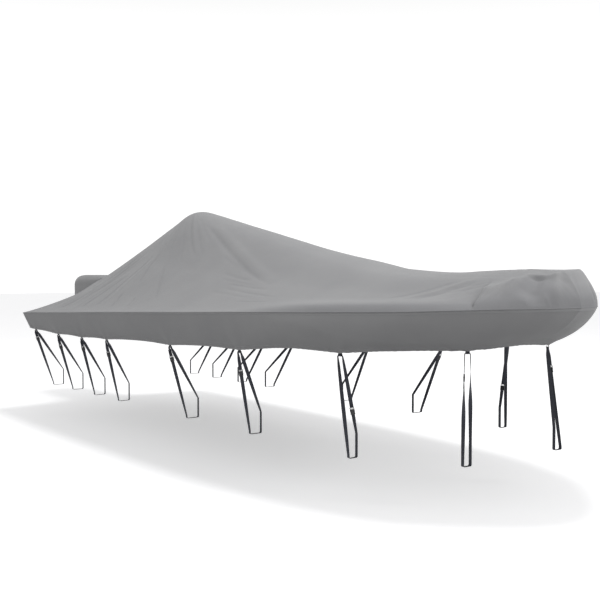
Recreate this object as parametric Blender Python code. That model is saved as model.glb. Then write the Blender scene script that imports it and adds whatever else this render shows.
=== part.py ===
"""Fitted boat cover for a shallow centre-console boat, as it hangs when strapped down.

Units are metres: +X towards the bow, +Y to port, +Z up.  The origin is under the peak, on the
inner face of the cloth, where the boat's console carries the cover.  The boat is not modelled.
"""

import math

import bmesh
import bpy
import numpy as np

CLOTH = 0.002           # thickness of the woven cloth
SEAM_GAP = 0.0006       # clear space between two sewn panels
SEAM_DROP = 0.004       # how far the skirt starts below the gunwale seam

# Centre line of the top panel: the peak over the console, the run to the bow, the bow support.
RIDGE_COLUMNS = ("x", "z")
RIDGE = (
    (-1.479, -0.608),
    (-0.140, -0.038),
    (-0.055, -0.005),
    (0.000, 0.002),
    (0.055, -0.004),
    (0.140, -0.021),
    (1.000, -0.202),
    (1.980, -0.405),
    (2.300, -0.456),
    (2.680, -0.519),
    (3.260, -0.543),
    (3.600, -0.528),
    (3.860, -0.519),
)

# One row for each rib, from the stern corner to the bow tip.  edge is the gunwale seam and spine_x
# is where the rib leaves the centre line.  crest is the share of the rib on the raised crest and
# drop is how far the crest falls to its own edge, to starboard and to port.  sag is the hang of
# the cloth between crest and gunwale, hem is the lower edge of the skirt, and belly is how far the
# skirt bows out between gunwale and hem.
RIB_COLUMNS = ("edge_x", "edge_y", "edge_z", "spine_x", "crest_s", "drop_s", "crest_p", "drop_p",
               "sag", "hem_x", "hem_y", "hem_z", "belly")
RIBS = (
    (-1.495, 1.165, -0.965, -1.479, 0.185, 0.006, 0.185, 0.006, 0.030, -1.479, 1.100, -1.115, 0.002),
    (-1.420, 1.154, -0.961, -1.410, 0.170, 0.006, 0.170, 0.006, 0.032, -1.410, 1.090, -1.122, 0.004),
    (-0.900, 1.155, -0.940, -0.900, 0.115, 0.007, 0.115, 0.007, 0.045, -0.900, 1.065, -1.146, 0.008),
    (-0.400, 1.158, -0.920, -0.400, 0.075, 0.008, 0.075, 0.008, 0.055, -0.400, 1.055, -1.148, 0.010),
    (0.000, 1.160, -0.902, 0.000, 0.050, 0.006, 0.050, 0.006, 0.055, 0.000, 1.050, -1.138, 0.010),
    (0.800, 1.158, -0.870, 0.800, 0.080, 0.012, 0.080, 0.012, 0.045, 0.790, 1.048, -1.120, 0.012),
    (1.600, 1.145, -0.839, 1.600, 0.120, 0.016, 0.120, 0.016, 0.030, 1.570, 1.045, -1.102, 0.012),
    (2.300, 1.110, -0.811, 2.300, 0.170, 0.018, 0.170, 0.018, 0.020, 2.220, 1.020, -1.080, 0.014),
    (2.886, 1.050, -0.791, 2.886, 0.210, 0.020, 0.210, 0.016, 0.016, 2.740, 0.955, -1.050, 0.016),
    (3.216, 0.972, -0.780, 3.200, 0.250, 0.026, 0.260, 0.016, 0.016, 3.060, 0.872, -1.046, 0.018),
    (3.586, 0.838, -0.768, 3.450, 0.280, 0.036, 0.330, 0.014, 0.010, 3.330, 0.735, -1.034, 0.022),
    (3.806, 0.660, -0.758, 3.600, 0.330, 0.044, 0.430, 0.012, -0.004, 3.540, 0.560, -1.022, 0.030),
    (3.986, 0.470, -0.750, 3.720, 0.430, 0.048, 0.620, 0.002, -0.016, 3.680, 0.400, -1.014, 0.034),
    (4.121, 0.300, -0.746, 3.800, 0.520, 0.050, 0.740, 0.004, -0.026, 3.740, 0.270, -1.004, 0.038),
    (4.196, 0.150, -0.744, 3.840, 0.540, 0.044, 0.680, 0.010, -0.030, 3.780, 0.130, -0.994, 0.042),
    (4.226, 0.000, -0.743, 3.860, 0.620, 0.016, 0.620, 0.016, -0.024, 3.796, 0.000, -0.988, 0.044),
)
SHELF_WIDTH = 0.09      # flat covering board just inside the gunwale
SHELF_RISE = 0.020
SHORTEST_SLOPE = 0.48   # shortest share of a rib between crest and gunwale that has a shelf
RIBS_PER_SIDE = 38
CREST_BIAS = 0.8        # below 1, ribs crowd towards the bow
ACROSS = (0.0, 0.05, 0.12, 0.18, 0.247, 0.35, 0.47, 0.60, 0.72, 0.83, 0.92, 1.0)
HOOD_ACROSS = 4         # the share above that ends just outside the hood
DOWN_SKIRT = (0.0, 0.14, 0.40, 0.70, 1.0)
TRANSOM_HEM_X = -1.470
TRANSOM_HEM_Z = -1.118
TRANSOM_BELLY = 0.004

# Motor hood: one row for each of its ribs, from the transom to the middle of its aft end.
HOOD_COLUMNS = ("side_x", "side_y", "spine_x", "top_z", "corner")
HOOD = (
    (-1.480, 0.285, -1.480, -0.608, 0.060),
    (-1.800, 0.290, -1.780, -0.603, 0.080),
    (-2.140, 0.286, -2.040, -0.605, 0.090),
    (-2.310, 0.262, -2.140, -0.610, 0.100),
    (-2.395, 0.170, -2.200, -0.614, 0.110),
    (-2.420, 0.000, -2.220, -0.616, 0.110),
)
HOOD_RIBS_PER_SIDE = 15
HOOD_BLEND = 0.30       # length over which the hood leaves the stern edge's own curve
HOOD_HEM_Z = -1.120
HOOD_TUCK = 0.030       # how far the hood draws in at its hem
HOOD_CORNER_STEPS = 4
HOOD_WALL_STEPS = 3

# Tie-down straps on both sides.  hem_x is where the tab is sewn, port_shift moves the port one,
# rail_x, rail_y and rail_wide place the trailer rail's outer face and its width there, buckle is
# how far down its leg the buckle sits, and leg is +1 for the outer leg and -1 for the inner one.
STRAP_COLUMNS = ("hem_x", "port_shift", "rail_x", "rail_y", "rail_wide", "buckle", "leg")
STRAPS = (
    (-1.364, 0.000, -1.500, 0.850, 0.100, 0.06, 1),
    (-0.874, 0.000, -1.030, 0.850, 0.100, 0.09, 1),
    (-0.374, 0.000, -0.540, 0.850, 0.100, 0.07, 1),
    (0.126, 0.000, -0.048, 0.850, 0.100, 0.10, 1),
    (1.226, 0.000, 1.147, 0.850, 0.100, 0.07, 1),
    (2.156, 0.000, 2.036, 0.850, 0.090, 0.13, 1),
    (3.066, -0.180, 3.120, 0.840, 0.060, 0.33, -1),
    (3.690, 0.000, 3.730, 0.460, 0.060, 0.12, 1),
)
RAIL_TOP = -1.555
RAIL_BOTTOM = -1.706
WEB_WIDTH = 0.025       # tie-down webbing
WEB_THICK = 0.0015
BUNCH_WIDTH = 0.014     # the same webbing, bunched where it runs through its tab
BUNCH_THICK = 0.003
BUNCH_LIFT = 0.0005     # clear space between the bunched webbing and the floor of its tab's eye
TAB_CLEAR = 0.0015      # clear space between a tab's edge and the bend of the webbing
RAIL_CLEAR = 0.003
CORNER_RADIUS = 0.010   # the webbing's turn under each bottom edge of the rail
CORNER_IN = 0.3         # share of that turn at its middle row
CORNER_UP = 0.003       # height of that row over the flat run
TAB_BEND = 0.004        # bend of the bunched webbing at each side of its tab
BUNCH_SHARE = 0.10      # share of a leg over which the webbing spreads to its full width
TWIST_STEP = 0.22       # longest share of a leg between two rows, for its quarter turn

TAB_WIDTH = 0.025       # sewn loops of webbing that hold the straps
TAB_THICK = 0.0018
EYE_HALF = 0.0085
EYE_FLOOR = -0.012
EYE_SHOULDER = -0.005
EYE_PEAK = 0.003
TAIL_TOP = 0.035
TAB_DROP = 0.008        # the eye's own origin below the hem
TAB_INSET = 0.0046      # the tab's middle plane, inboard of the hem's outer face

BUCKLE_LONG = 0.046
BUCKLE_WIDE = 0.034
BUCKLE_THICK = 0.009
BUCKLE_CORNER = 0.006
BUCKLE_EDGE = 0.0015
BUCKLE_GAP = 0.0006

CLOTH_COLOUR = (0.30, 0.30, 0.31)
WEB_COLOUR = (0.012, 0.014, 0.022)
BUCKLE_COLOUR = (0.02, 0.02, 0.024)


def column(table, names, name):
    """One named column of a table, as an array."""
    return np.array([row[names.index(name)] for row in table], float)


def smooth(x, xs, ys):
    """Value at x of the monotone cubic through the points (xs, ys)."""
    step = np.diff(xs)
    slope = np.diff(ys) / step
    tangent = np.empty(len(xs))
    tangent[0] = slope[0]
    tangent[-1] = slope[-1]
    for i in range(1, len(xs) - 1):
        before, after = slope[i - 1], slope[i]
        tangent[i] = 2 * before * after / (before + after) if before * after > 0 else 0.0
    i = int(np.clip(np.searchsorted(xs, x) - 1, 0, len(xs) - 2))
    t = (x - xs[i]) / step[i]
    start = (1 + 2 * t) * (1 - t) ** 2 * ys[i] + t * (1 - t) ** 2 * step[i] * tangent[i]
    end = t * t * (3 - 2 * t) * ys[i + 1] + t * t * (t - 1) * step[i] * tangent[i + 1]
    return float(start + end)


def arc_positions(xs, ys):
    """Distance along the plan outline to each row, from 0 to 1."""
    steps = np.hypot(np.diff(xs), np.diff(ys))
    along = np.concatenate([[0.0], np.cumsum(steps)])
    return along / along[-1]


RIDGE_X = column(RIDGE, RIDGE_COLUMNS, "x")
RIDGE_Z = column(RIDGE, RIDGE_COLUMNS, "z")
RIB_AT = arc_positions(column(RIBS, RIB_COLUMNS, "edge_x"), column(RIBS, RIB_COLUMNS, "edge_y"))
HOOD_AT = arc_positions(column(HOOD, HOOD_COLUMNS, "side_x"), column(HOOD, HOOD_COLUMNS, "side_y"))


def rib(u):
    """The rib at u along the gunwale, 0 at the stern corner and 1 at the bow tip."""
    return {name: smooth(u, RIB_AT, column(RIBS, RIB_COLUMNS, name)) for name in RIB_COLUMNS}


def top_point(row, v, side):
    """Point at share v of a rib, 0 on the centre line and 1 on the gunwale seam."""
    ridge = smooth(row["spine_x"], RIDGE_X, RIDGE_Z)
    length = math.hypot(row["edge_x"] - row["spine_x"], row["edge_y"])
    crest = row["crest_p"] if side > 0 else row["crest_s"]
    crest_z = ridge - (row["drop_p"] if side > 0 else row["drop_s"])
    shelf = 1 - SHELF_WIDTH / length
    if shelf > crest + SHORTEST_SLOPE:
        low, low_z = shelf, row["edge_z"] + SHELF_RISE
        tail, tail_z = (shelf, 1.0), (low_z, row["edge_z"])
    else:
        low, low_z = 1.0, row["edge_z"]
        tail, tail_z = (1.0,), (low_z,)
    middle = 0.5 * (crest + low)
    middle_z = 0.5 * (crest_z + low_z) - row["sag"]
    stations = np.array((-crest, 0.0, crest, middle, *tail))
    heights = np.array((crest_z, ridge, crest_z, middle_z, *tail_z))
    x = row["spine_x"] + v * (row["edge_x"] - row["spine_x"])
    return (x, side * v * row["edge_y"], smooth(v, stations, heights))


def skirt_curve(top, hem, out, belly, w):
    """Point at share w down the skirt, which bows out by belly from the line between its edges."""
    top, hem, out = np.array(top), np.array(hem), np.array(out)
    fall = hem - top
    inward = float(np.dot(fall, out))
    normal = -fall[2] * out + np.array((0, 0, inward))
    return tuple(top + w * fall + belly * 4 * w * (1 - w) * normal / np.linalg.norm(normal))


def skirt_point(row, w, side):
    """Point at share w of the skirt below a rib, 0 at the gunwale seam and 1 at the hem."""
    top = (row["edge_x"], side * row["edge_y"], row["edge_z"] - SEAM_DROP)
    hem = (row["hem_x"], side * row["hem_y"], row["hem_z"])
    run = math.hypot(row["edge_x"] - row["spine_x"], row["edge_y"])
    out = ((row["edge_x"] - row["spine_x"]) / run, side * row["edge_y"] / run, 0.0)
    return skirt_curve(top, hem, out, row["belly"], w)


def transom_point(y, w, side):
    """Point at share w of the skirt across the transom, at distance y from the centre line."""
    row = rib(0.0)
    top = np.array(top_point(row, y / row["edge_y"], side)) - (0, 0, SEAM_DROP)
    corner = (y / row["edge_y"]) ** 4
    hem_x = TRANSOM_HEM_X + corner * (row["hem_x"] - TRANSOM_HEM_X)
    hem_y = y + corner * (row["hem_y"] - row["edge_y"])
    hem_z = TRANSOM_HEM_Z + corner * (row["hem_z"] - TRANSOM_HEM_Z)
    hem = (hem_x, side * hem_y, hem_z)
    return skirt_curve(top, hem, (-1, 0, 0), TRANSOM_BELLY, w)


def gunwale_stations():
    """Positions of the ribs along the gunwale, closer together towards the bow."""
    even = np.linspace(0.0, 1.0, RIBS_PER_SIDE + 1)
    return 1 - (1 - even) ** (1 / CREST_BIAS)


def material(name, colour, roughness):
    made = bpy.data.materials.new(name)
    made.use_nodes = True
    shader = made.node_tree.nodes["Principled BSDF"]
    shader.inputs["Base Color"].default_value = (*colour, 1.0)
    shader.inputs["Roughness"].default_value = roughness
    shader.inputs["Metallic"].default_value = 0.0
    return made


def mesh_object(name, points, faces, colour, roughness, closed=True):
    """A mesh object with matching points joined, and the faces of a closed one turned outwards."""
    shape = bmesh.new()
    corners = [shape.verts.new(point) for point in points]
    for face in faces:
        shape.faces.new([corners[i] for i in face])
    bmesh.ops.remove_doubles(shape, verts=shape.verts, dist=1e-6)
    if closed:
        bmesh.ops.recalc_face_normals(shape, faces=shape.faces)
    mesh = bpy.data.meshes.new(name)
    shape.to_mesh(mesh)
    shape.free()
    made = bpy.data.objects.new(name, mesh)
    made.data.materials.append(material(name + "_finish", colour, roughness))
    bpy.context.collection.objects.link(made)
    return made


def sheet(name, grid, colour):
    """A cloth sheet through a grid of points, thickened inwards."""
    rows, columns = len(grid), len(grid[0])
    points = [point for line in grid for point in line]
    faces = []
    for i in range(rows - 1):
        for j in range(columns - 1):
            a = i * columns + j
            faces.append((a, a + 1, a + columns + 1, a + columns))
    made = mesh_object(name, points, faces, colour, 0.9, closed=False)
    thick = made.modifiers.new("cloth", "SOLIDIFY")
    thick.thickness = CLOTH
    thick.offset = -1
    return made


def top_panel():
    """The one panel over console, decks and bow, from gunwale to gunwale."""
    grid = []
    for u in gunwale_stations():
        row = rib(u)
        port = [top_point(row, v, 1) for v in reversed(ACROSS)]
        starboard = [top_point(row, v, -1) for v in ACROSS[1:]]
        grid.append(port + starboard)
    return sheet("top_panel", grid, CLOTH_COLOUR)


def side_skirt():
    """The band below the gunwale seam: transom, side, bow, side, transom."""
    corner_y = RIBS[0][RIB_COLUMNS.index("edge_y")]
    transom = [share * corner_y for share in ACROSS[HOOD_ACROSS:-1]]
    grid = [[transom_point(y, w, -1) for w in DOWN_SKIRT] for y in transom]
    stations = gunwale_stations()
    grid += [[skirt_point(rib(u), w, -1) for w in DOWN_SKIRT] for u in stations]
    grid += [[skirt_point(rib(u), w, 1) for w in DOWN_SKIRT] for u in reversed(stations[:-1])]
    grid += [[transom_point(y, w, 1) for w in DOWN_SKIRT] for y in reversed(transom)]
    return sheet("side_skirt", grid, CLOTH_COLOUR)


def hood_line(t, side):
    """One rib of the motor hood, from its centre line out, round its shoulder and down to the hem."""
    row = {name: smooth(t, HOOD_AT, column(HOOD, HOOD_COLUMNS, name)) for name in HOOD_COLUMNS}
    spine = np.array((row["spine_x"], 0.0))
    out = np.array((row["side_x"], side * row["side_y"])) - spine
    reach = float(np.hypot(*out))
    flat = 1 - row["corner"] / reach
    places = [(0.5 * flat, 0.0)]
    for step in range(HOOD_CORNER_STEPS + 1):
        turn = 0.5 * math.pi * step / HOOD_CORNER_STEPS
        places.append((flat + (1 - flat) * math.sin(turn), row["corner"] * (1 - math.cos(turn))))
    shoulder = places[-1][1]
    stern = rib(0.0)
    ease = min(1.0, (HOOD[0][0] - row["side_x"]) / HOOD_BLEND)
    ease = ease * ease * (3 - 2 * ease)
    line = [(spine[0], 0.0, row["top_z"])]
    for share, fall in places:
        plan = spine + share * out
        seam = top_point(stern, abs(plan[1]) / stern["edge_y"], side)
        x = plan[0] + (1 - ease) * (seam[0] - SEAM_GAP - HOOD[0][0])
        line.append((x, plan[1], seam[2] + ease * (row["top_z"] - fall - seam[2])))
    wall_top = line[-1]
    for step in range(1, HOOD_WALL_STEPS + 1):
        share = step / HOOD_WALL_STEPS
        plan = np.array(wall_top[:2]) - share ** 2 * HOOD_TUCK * ease * out / reach
        line.append((*plan, wall_top[2] + share * (HOOD_HEM_Z - wall_top[2])))
    return line


def motor_hood():
    """The pocket sewn to the stern edge, over the outboard motor's cowl."""
    stations = np.linspace(0.0, 1.0, HOOD_RIBS_PER_SIDE + 1)
    grid = []
    for t in stations:
        port, starboard = hood_line(t, 1), hood_line(t, -1)
        grid.append(list(reversed(port)) + starboard[1:])
    grid.reverse()
    return sheet("motor_hood", grid, CLOTH_COLOUR)


def hem_frame(hem_x, side):
    """Place on the skirt's hem at hem_x: the point, the way along it and the way out of the boat."""
    hems = np.array([skirt_point(rib(u), 1.0, side) for u in gunwale_stations()])
    i = int(np.searchsorted(hems[:, 0], hem_x)) - 1
    share = (hem_x - hems[i, 0]) / (hems[i + 1, 0] - hems[i, 0])
    point = hems[i] + share * (hems[i + 1] - hems[i])
    along = (hems[i + 1] - hems[i]) * (1, 1, 0)
    along = along / np.linalg.norm(along)
    out = np.array((side * -along[1], side * along[0], 0.0))
    return point, along, out


def tab(name, hem_x, side):
    """A loop of webbing sewn inside the hem, with a house-shaped eye for its strap."""
    point, along, out = hem_frame(hem_x, side)
    centre = point - TAB_INSET * out - (0, 0, TAB_DROP)
    t = TAB_THICK
    eye = ((-EYE_HALF, EYE_FLOOR), (EYE_HALF, EYE_FLOOR), (EYE_HALF, EYE_SHOULDER), (0, EYE_PEAK),
           (-EYE_HALF, EYE_SHOULDER))
    outer = ((-EYE_HALF - t, EYE_FLOOR - t), (EYE_HALF + t, EYE_FLOOR - t),
             (EYE_HALF + t, EYE_SHOULDER + t / 2), (t, EYE_PEAK + t), (t, TAIL_TOP), (-t, TAIL_TOP),
             (-t, EYE_PEAK + t), (-EYE_HALF - t, EYE_SHOULDER + t / 2))
    count = len(eye) + len(outer)
    points = []
    for end in (-0.5, 0.5):
        for across, up in eye + outer:
            points.append(tuple(centre + end * TAB_WIDTH * along + across * out + (0, 0, up)))
    first = len(eye)
    webs = ((5, 6, 1, 0), (6, 7, 2, 1), (7, 8, 3, 2), (8, 11, 3), (8, 9, 10, 11), (11, 12, 4, 3),
            (12, 5, 0, 4))
    faces = [tuple(reversed(web)) for web in webs]
    faces += [tuple(i + count for i in web) for web in webs]
    for i in range(len(outer)):
        a, b = first + i, first + (i + 1) % len(outer)
        faces.append((a, b, b + count, a + count))
    for i in range(len(eye)):
        a, b = i, (i + 1) % len(eye)
        faces.append((b, a, a + count, b + count))
    if side < 0:
        faces = [tuple(reversed(face)) for face in faces]
    return mesh_object(name, points, faces, WEB_COLOUR, 0.7)


def strap_route(strap, side):
    """The strap's centre line and its webbing: rows of (point, width direction, width, thickness).

    It starts at the lower end of the buckle, runs down one leg, under the rail, up the other leg,
    through the tab's eye and back down to the upper end of the buckle.
    """
    placed = dict(zip(STRAP_COLUMNS, strap))
    shift = placed["port_shift"] if side > 0 else 0.0
    rail_x, rail_y, leg = placed["rail_x"] + shift, placed["rail_y"], placed["leg"]
    point, along, out = hem_frame(placed["hem_x"] + shift, side)
    eye = point - TAB_INSET * out - (0, 0, TAB_DROP)
    pass_z = EYE_FLOOR + 0.5 * BUNCH_THICK + BUNCH_LIFT
    over = eye + (0, 0, pass_z)
    half_pass = 0.5 * TAB_WIDTH + TAB_BEND + TAB_CLEAR
    outer_y = rail_y + RAIL_CLEAR
    inner_y = rail_y - placed["rail_wide"] - RAIL_CLEAR
    near_y, far_y = (outer_y, inner_y) if leg > 0 else (inner_y, outer_y)
    turn = math.copysign(CORNER_RADIUS, far_y - near_y)
    across = np.array((1.0, 0.0, 0.0))
    near_tab = over - leg * half_pass * along
    far_tab = over + leg * half_pass * along
    outer_end = np.array((rail_x, side * outer_y, RAIL_BOTTOM + 2 * CORNER_RADIUS))
    inner_end = np.array((rail_x, side * inner_y, RAIL_TOP))
    near_top, far_top = (outer_end, inner_end) if leg > 0 else (inner_end, outer_end)

    def leg_row(tab_end, rail_end, share, width, thick):
        """A row on a free leg, whose webbing turns evenly from across the tab to across the rail."""
        start = tab_end - (0, 0, TAB_BEND)
        place = start + share * (rail_end - start)
        turned = 0.5 * math.pi * share
        facing = math.cos(turned) * out + side * math.sin(turned) * across
        return place, facing, width, thick

    leg_length = float(np.linalg.norm(near_top - near_tab))
    top_share = placed["buckle"] / leg_length
    low_share = (placed["buckle"] + BUCKLE_LONG + 2 * BUCKLE_GAP) / leg_length
    steps = 1 + math.ceil((1 - low_share) / TWIST_STEP)
    rows = [leg_row(near_tab, near_top, share, WEB_WIDTH, WEB_THICK)
            for share in np.linspace(low_share, 1.0, steps)]
    corner = ((near_y, RAIL_BOTTOM + CORNER_RADIUS),
              (near_y + CORNER_IN * turn, RAIL_BOTTOM + CORNER_UP),
              (near_y + turn, RAIL_BOTTOM), (far_y - turn, RAIL_BOTTOM),
              (far_y - CORNER_IN * turn, RAIL_BOTTOM + CORNER_UP),
              (far_y, RAIL_BOTTOM + CORNER_RADIUS))
    rows += [(np.array((rail_x, side * y, z)), across, WEB_WIDTH, WEB_THICK) for y, z in corner]
    steps = 1 + math.ceil((1 - BUNCH_SHARE) / TWIST_STEP)
    rows += [leg_row(far_tab, far_top, share, WEB_WIDTH, WEB_THICK)
             for share in np.linspace(1.0, BUNCH_SHARE, steps)]
    bunched = (out, BUNCH_WIDTH, BUNCH_THICK)
    rows.append((far_tab - (0, 0, TAB_BEND), *bunched))
    rows.append((far_tab - leg * TAB_BEND * along, *bunched))
    rows.append((near_tab + leg * TAB_BEND * along, *bunched))
    rows.append((near_tab - (0, 0, TAB_BEND), *bunched))
    steps = 1 + math.ceil(max(top_share - BUNCH_SHARE, 0) / TWIST_STEP)
    rows += [leg_row(near_tab, near_top, share, WEB_WIDTH, WEB_THICK)
             for share in np.linspace(min(BUNCH_SHARE, top_share), top_share, steps + 1)[1:]]
    return rows


def section_frames(rows):
    """Along, across and through directions at each row of a strap."""
    centres = [row[0] for row in rows]
    frames = []
    for i, (_, facing, _, _) in enumerate(rows):
        along = centres[min(i + 1, len(rows) - 1)] - centres[max(i - 1, 0)]
        along = along / np.linalg.norm(along)
        across = facing - np.dot(facing, along) * along
        across = across / np.linalg.norm(across)
        if frames and np.dot(across, frames[-1][1]) < 0:
            across = -across
        frames.append((along, across, np.cross(along, across)))
    return frames


def strap(name, rows):
    """A ribbon of webbing, thickened along its route, with flat ends at the buckle."""
    points = []
    for (centre, _, width, thick), (_, across, through) in zip(rows, section_frames(rows)):
        for a, b in ((-1, -1), (1, -1), (1, 1), (-1, 1)):
            points.append(tuple(centre + a * 0.5 * width * across + b * 0.5 * thick * through))
    # both broad faces are split along the same diagonal, which keeps the webbing's thickness
    # even where it turns
    last = 4 * (len(rows) - 1)
    faces = [(3, 2, 1, 0), (last, last + 1, last + 2, last + 3)]
    for i in range(0, last, 4):
        faces += [(i, i + 1, i + 5), (i, i + 5, i + 4)]
        faces += [(i + 2, i + 3, i + 6), (i + 3, i + 7, i + 6)]
        faces += [(i + 1, i + 2, i + 6, i + 5), (i + 3, i, i + 4, i + 7)]
    return mesh_object(name, points, faces, WEB_COLOUR, 0.7)


def buckle(name, rows):
    """A side-release buckle, between the two ends of its strap."""
    frames = section_frames(rows)
    low, high = rows[0][0], rows[-1][0]
    along = (high - low) / np.linalg.norm(high - low)
    across = frames[0][1] - np.dot(frames[0][1], along) * along
    across = across / np.linalg.norm(across)
    through = np.cross(along, across)
    centre = 0.5 * (low + high)
    half_long = 0.5 * float(np.linalg.norm(high - low)) - BUCKLE_GAP
    half_wide = 0.5 * BUCKLE_WIDE
    cut = BUCKLE_CORNER
    outline = ((half_long, half_wide - cut), (half_long - cut, half_wide),
               (-half_long + cut, half_wide), (-half_long, half_wide - cut),
               (-half_long, -half_wide + cut), (-half_long + cut, -half_wide),
               (half_long - cut, -half_wide), (half_long, -half_wide + cut))
    points = []
    for level in (-0.5, 0.5):
        for a, b in outline:
            points.append(tuple(centre + a * along + b * across + level * BUCKLE_THICK * through))
    count = len(outline)
    faces = [tuple(reversed(range(count))), tuple(range(count, 2 * count))]
    for i in range(count):
        j = (i + 1) % count
        faces.append((i, j, j + count, i + count))
    return mesh_object(name, points, faces, BUCKLE_COLOUR, 0.4)


def main():
    for old in list(bpy.data.objects):
        bpy.data.objects.remove(old, do_unlink=True)
    top_panel()
    side_skirt()
    motor_hood()
    for side, mark in ((-1, "s"), (1, "p")):
        for number, row in enumerate(STRAPS, 1):
            shift = row[STRAP_COLUMNS.index("port_shift")] if side > 0 else 0.0
            tab(f"tab_{mark}{number}", row[0] + shift, side)
            route = strap_route(row, side)
            strap(f"strap_{mark}{number}", route)
            buckle(f"buckle_{mark}{number}", route)


main()
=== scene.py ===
"""Looks of a fitted boat cover for a shallow centre-console boat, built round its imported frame.

Units are metres in the frame's own axes: +X towards the bow, +Y to port, +Z up.  The boat, its
trailer and everything else round the cover are left out.
"""

import math

import bpy
import numpy as np
from mathutils import Matrix, Vector, noise


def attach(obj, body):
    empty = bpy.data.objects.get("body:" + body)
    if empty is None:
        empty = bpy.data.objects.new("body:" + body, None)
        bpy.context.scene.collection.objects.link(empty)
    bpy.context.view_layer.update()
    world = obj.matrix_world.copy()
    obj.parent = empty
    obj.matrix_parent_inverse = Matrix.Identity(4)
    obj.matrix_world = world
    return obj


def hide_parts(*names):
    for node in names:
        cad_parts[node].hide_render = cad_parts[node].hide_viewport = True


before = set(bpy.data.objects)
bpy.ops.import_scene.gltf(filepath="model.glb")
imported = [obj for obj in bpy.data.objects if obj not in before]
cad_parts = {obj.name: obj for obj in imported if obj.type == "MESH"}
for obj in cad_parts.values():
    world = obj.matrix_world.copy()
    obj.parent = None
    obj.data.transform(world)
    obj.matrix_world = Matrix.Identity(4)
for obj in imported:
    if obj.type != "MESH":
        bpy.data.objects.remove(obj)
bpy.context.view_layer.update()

# ---------------------------------------------------------------- the cover's own measures

SEAM_GAP = 0.0006       # clear space where the hood meets the top panel
SEAM_DROP = 0.004       # how far the skirt starts below the top panel's edge

# The ridge, from the stern over the peak to the bow.
RIDGE_COLUMNS = ("x", "z")
RIDGE = (
    (-1.479, -0.608),
    (-0.140, -0.038),
    (-0.055, -0.005),
    (0.000, 0.002),
    (0.055, -0.004),
    (0.140, -0.021),
    (1.000, -0.202),
    (1.980, -0.405),
    (2.300, -0.456),
    (2.680, -0.519),
    (3.260, -0.543),
    (3.600, -0.528),
    (3.860, -0.519),
)

# Ribs of the top panel from stern to bow tip.  Each runs from spine_x on the centre line to its
# gunwale edge.  crest is the share of it that is nearly level, drop the fall over that share for
# starboard (s) and port (p), sag the hollow outboard of it, and hem and belly shape the skirt.
RIB_COLUMNS = ("edge_x", "edge_y", "edge_z", "spine_x", "crest_s", "drop_s", "crest_p", "drop_p",
               "sag", "hem_x", "hem_y", "hem_z", "belly")
RIBS = (
    (-1.495, 1.165, -0.965, -1.479, 0.185, 0.006, 0.185, 0.006, 0.030, -1.479, 1.100, -1.115, 0.002),
    (-1.420, 1.154, -0.961, -1.410, 0.170, 0.006, 0.170, 0.006, 0.032, -1.410, 1.090, -1.122, 0.004),
    (-0.900, 1.155, -0.940, -0.900, 0.115, 0.007, 0.115, 0.007, 0.045, -0.900, 1.065, -1.146, 0.008),
    (-0.400, 1.158, -0.920, -0.400, 0.075, 0.008, 0.075, 0.008, 0.055, -0.400, 1.055, -1.148, 0.010),
    (0.000, 1.160, -0.902, 0.000, 0.050, 0.006, 0.050, 0.006, 0.055, 0.000, 1.050, -1.138, 0.010),
    (0.800, 1.158, -0.870, 0.800, 0.080, 0.012, 0.080, 0.012, 0.045, 0.790, 1.048, -1.120, 0.012),
    (1.600, 1.145, -0.839, 1.600, 0.120, 0.016, 0.120, 0.016, 0.030, 1.570, 1.045, -1.102, 0.012),
    (2.300, 1.110, -0.811, 2.300, 0.170, 0.018, 0.170, 0.018, 0.020, 2.220, 1.020, -1.080, 0.014),
    (2.886, 1.050, -0.791, 2.886, 0.210, 0.020, 0.210, 0.016, 0.016, 2.740, 0.955, -1.050, 0.016),
    (3.216, 0.972, -0.780, 3.200, 0.250, 0.026, 0.260, 0.016, 0.016, 3.060, 0.872, -1.046, 0.018),
    (3.586, 0.838, -0.768, 3.450, 0.280, 0.036, 0.330, 0.014, 0.010, 3.330, 0.735, -1.034, 0.022),
    (3.806, 0.660, -0.758, 3.600, 0.330, 0.044, 0.430, 0.012, -0.004, 3.540, 0.560, -1.022, 0.030),
    (3.986, 0.470, -0.750, 3.720, 0.430, 0.048, 0.620, 0.002, -0.016, 3.680, 0.400, -1.014, 0.034),
    (4.121, 0.300, -0.746, 3.800, 0.520, 0.050, 0.740, 0.004, -0.026, 3.740, 0.270, -1.004, 0.038),
    (4.196, 0.150, -0.744, 3.840, 0.540, 0.044, 0.680, 0.010, -0.030, 3.780, 0.130, -0.994, 0.042),
    (4.226, 0.000, -0.743, 3.860, 0.620, 0.016, 0.620, 0.016, -0.024, 3.796, 0.000, -0.988, 0.044),
)
SHELF_WIDTH = 0.09      # flatter strip of the top panel just inside the gunwale
SHELF_RISE = 0.020
SHORTEST_SLOPE = 0.48   # share of a rib below its crest that leaves no room for the shelf
FRAME_RIBS = 38         # ribs a side from which the tabs take their places
CREST_BIAS = 0.8        # below 1 crowds the ribs towards the bow
TRANSOM_HEM_X = -1.470
TRANSOM_HEM_Z = -1.118
TRANSOM_BELLY = 0.004

# Ribs of the motor hood from the transom aft, with the radius of its shoulder as corner.
HOOD_COLUMNS = ("side_x", "side_y", "spine_x", "top_z", "corner")
HOOD = (
    (-1.480, 0.285, -1.480, -0.608, 0.060),
    (-1.800, 0.290, -1.780, -0.603, 0.080),
    (-2.140, 0.286, -2.040, -0.605, 0.090),
    (-2.310, 0.262, -2.140, -0.610, 0.100),
    (-2.395, 0.170, -2.200, -0.614, 0.110),
    (-2.420, 0.000, -2.220, -0.616, 0.110),
)
HOOD_BLEND = 0.30       # distance over which the hood leaves the top panel's own section
HOOD_HEM_Z = -1.120
HOOD_TUCK = 0.030       # how far its wall draws in towards the hem
HOOD_SHARE = 0.247      # share of the transom's half width that the hood covers

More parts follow.
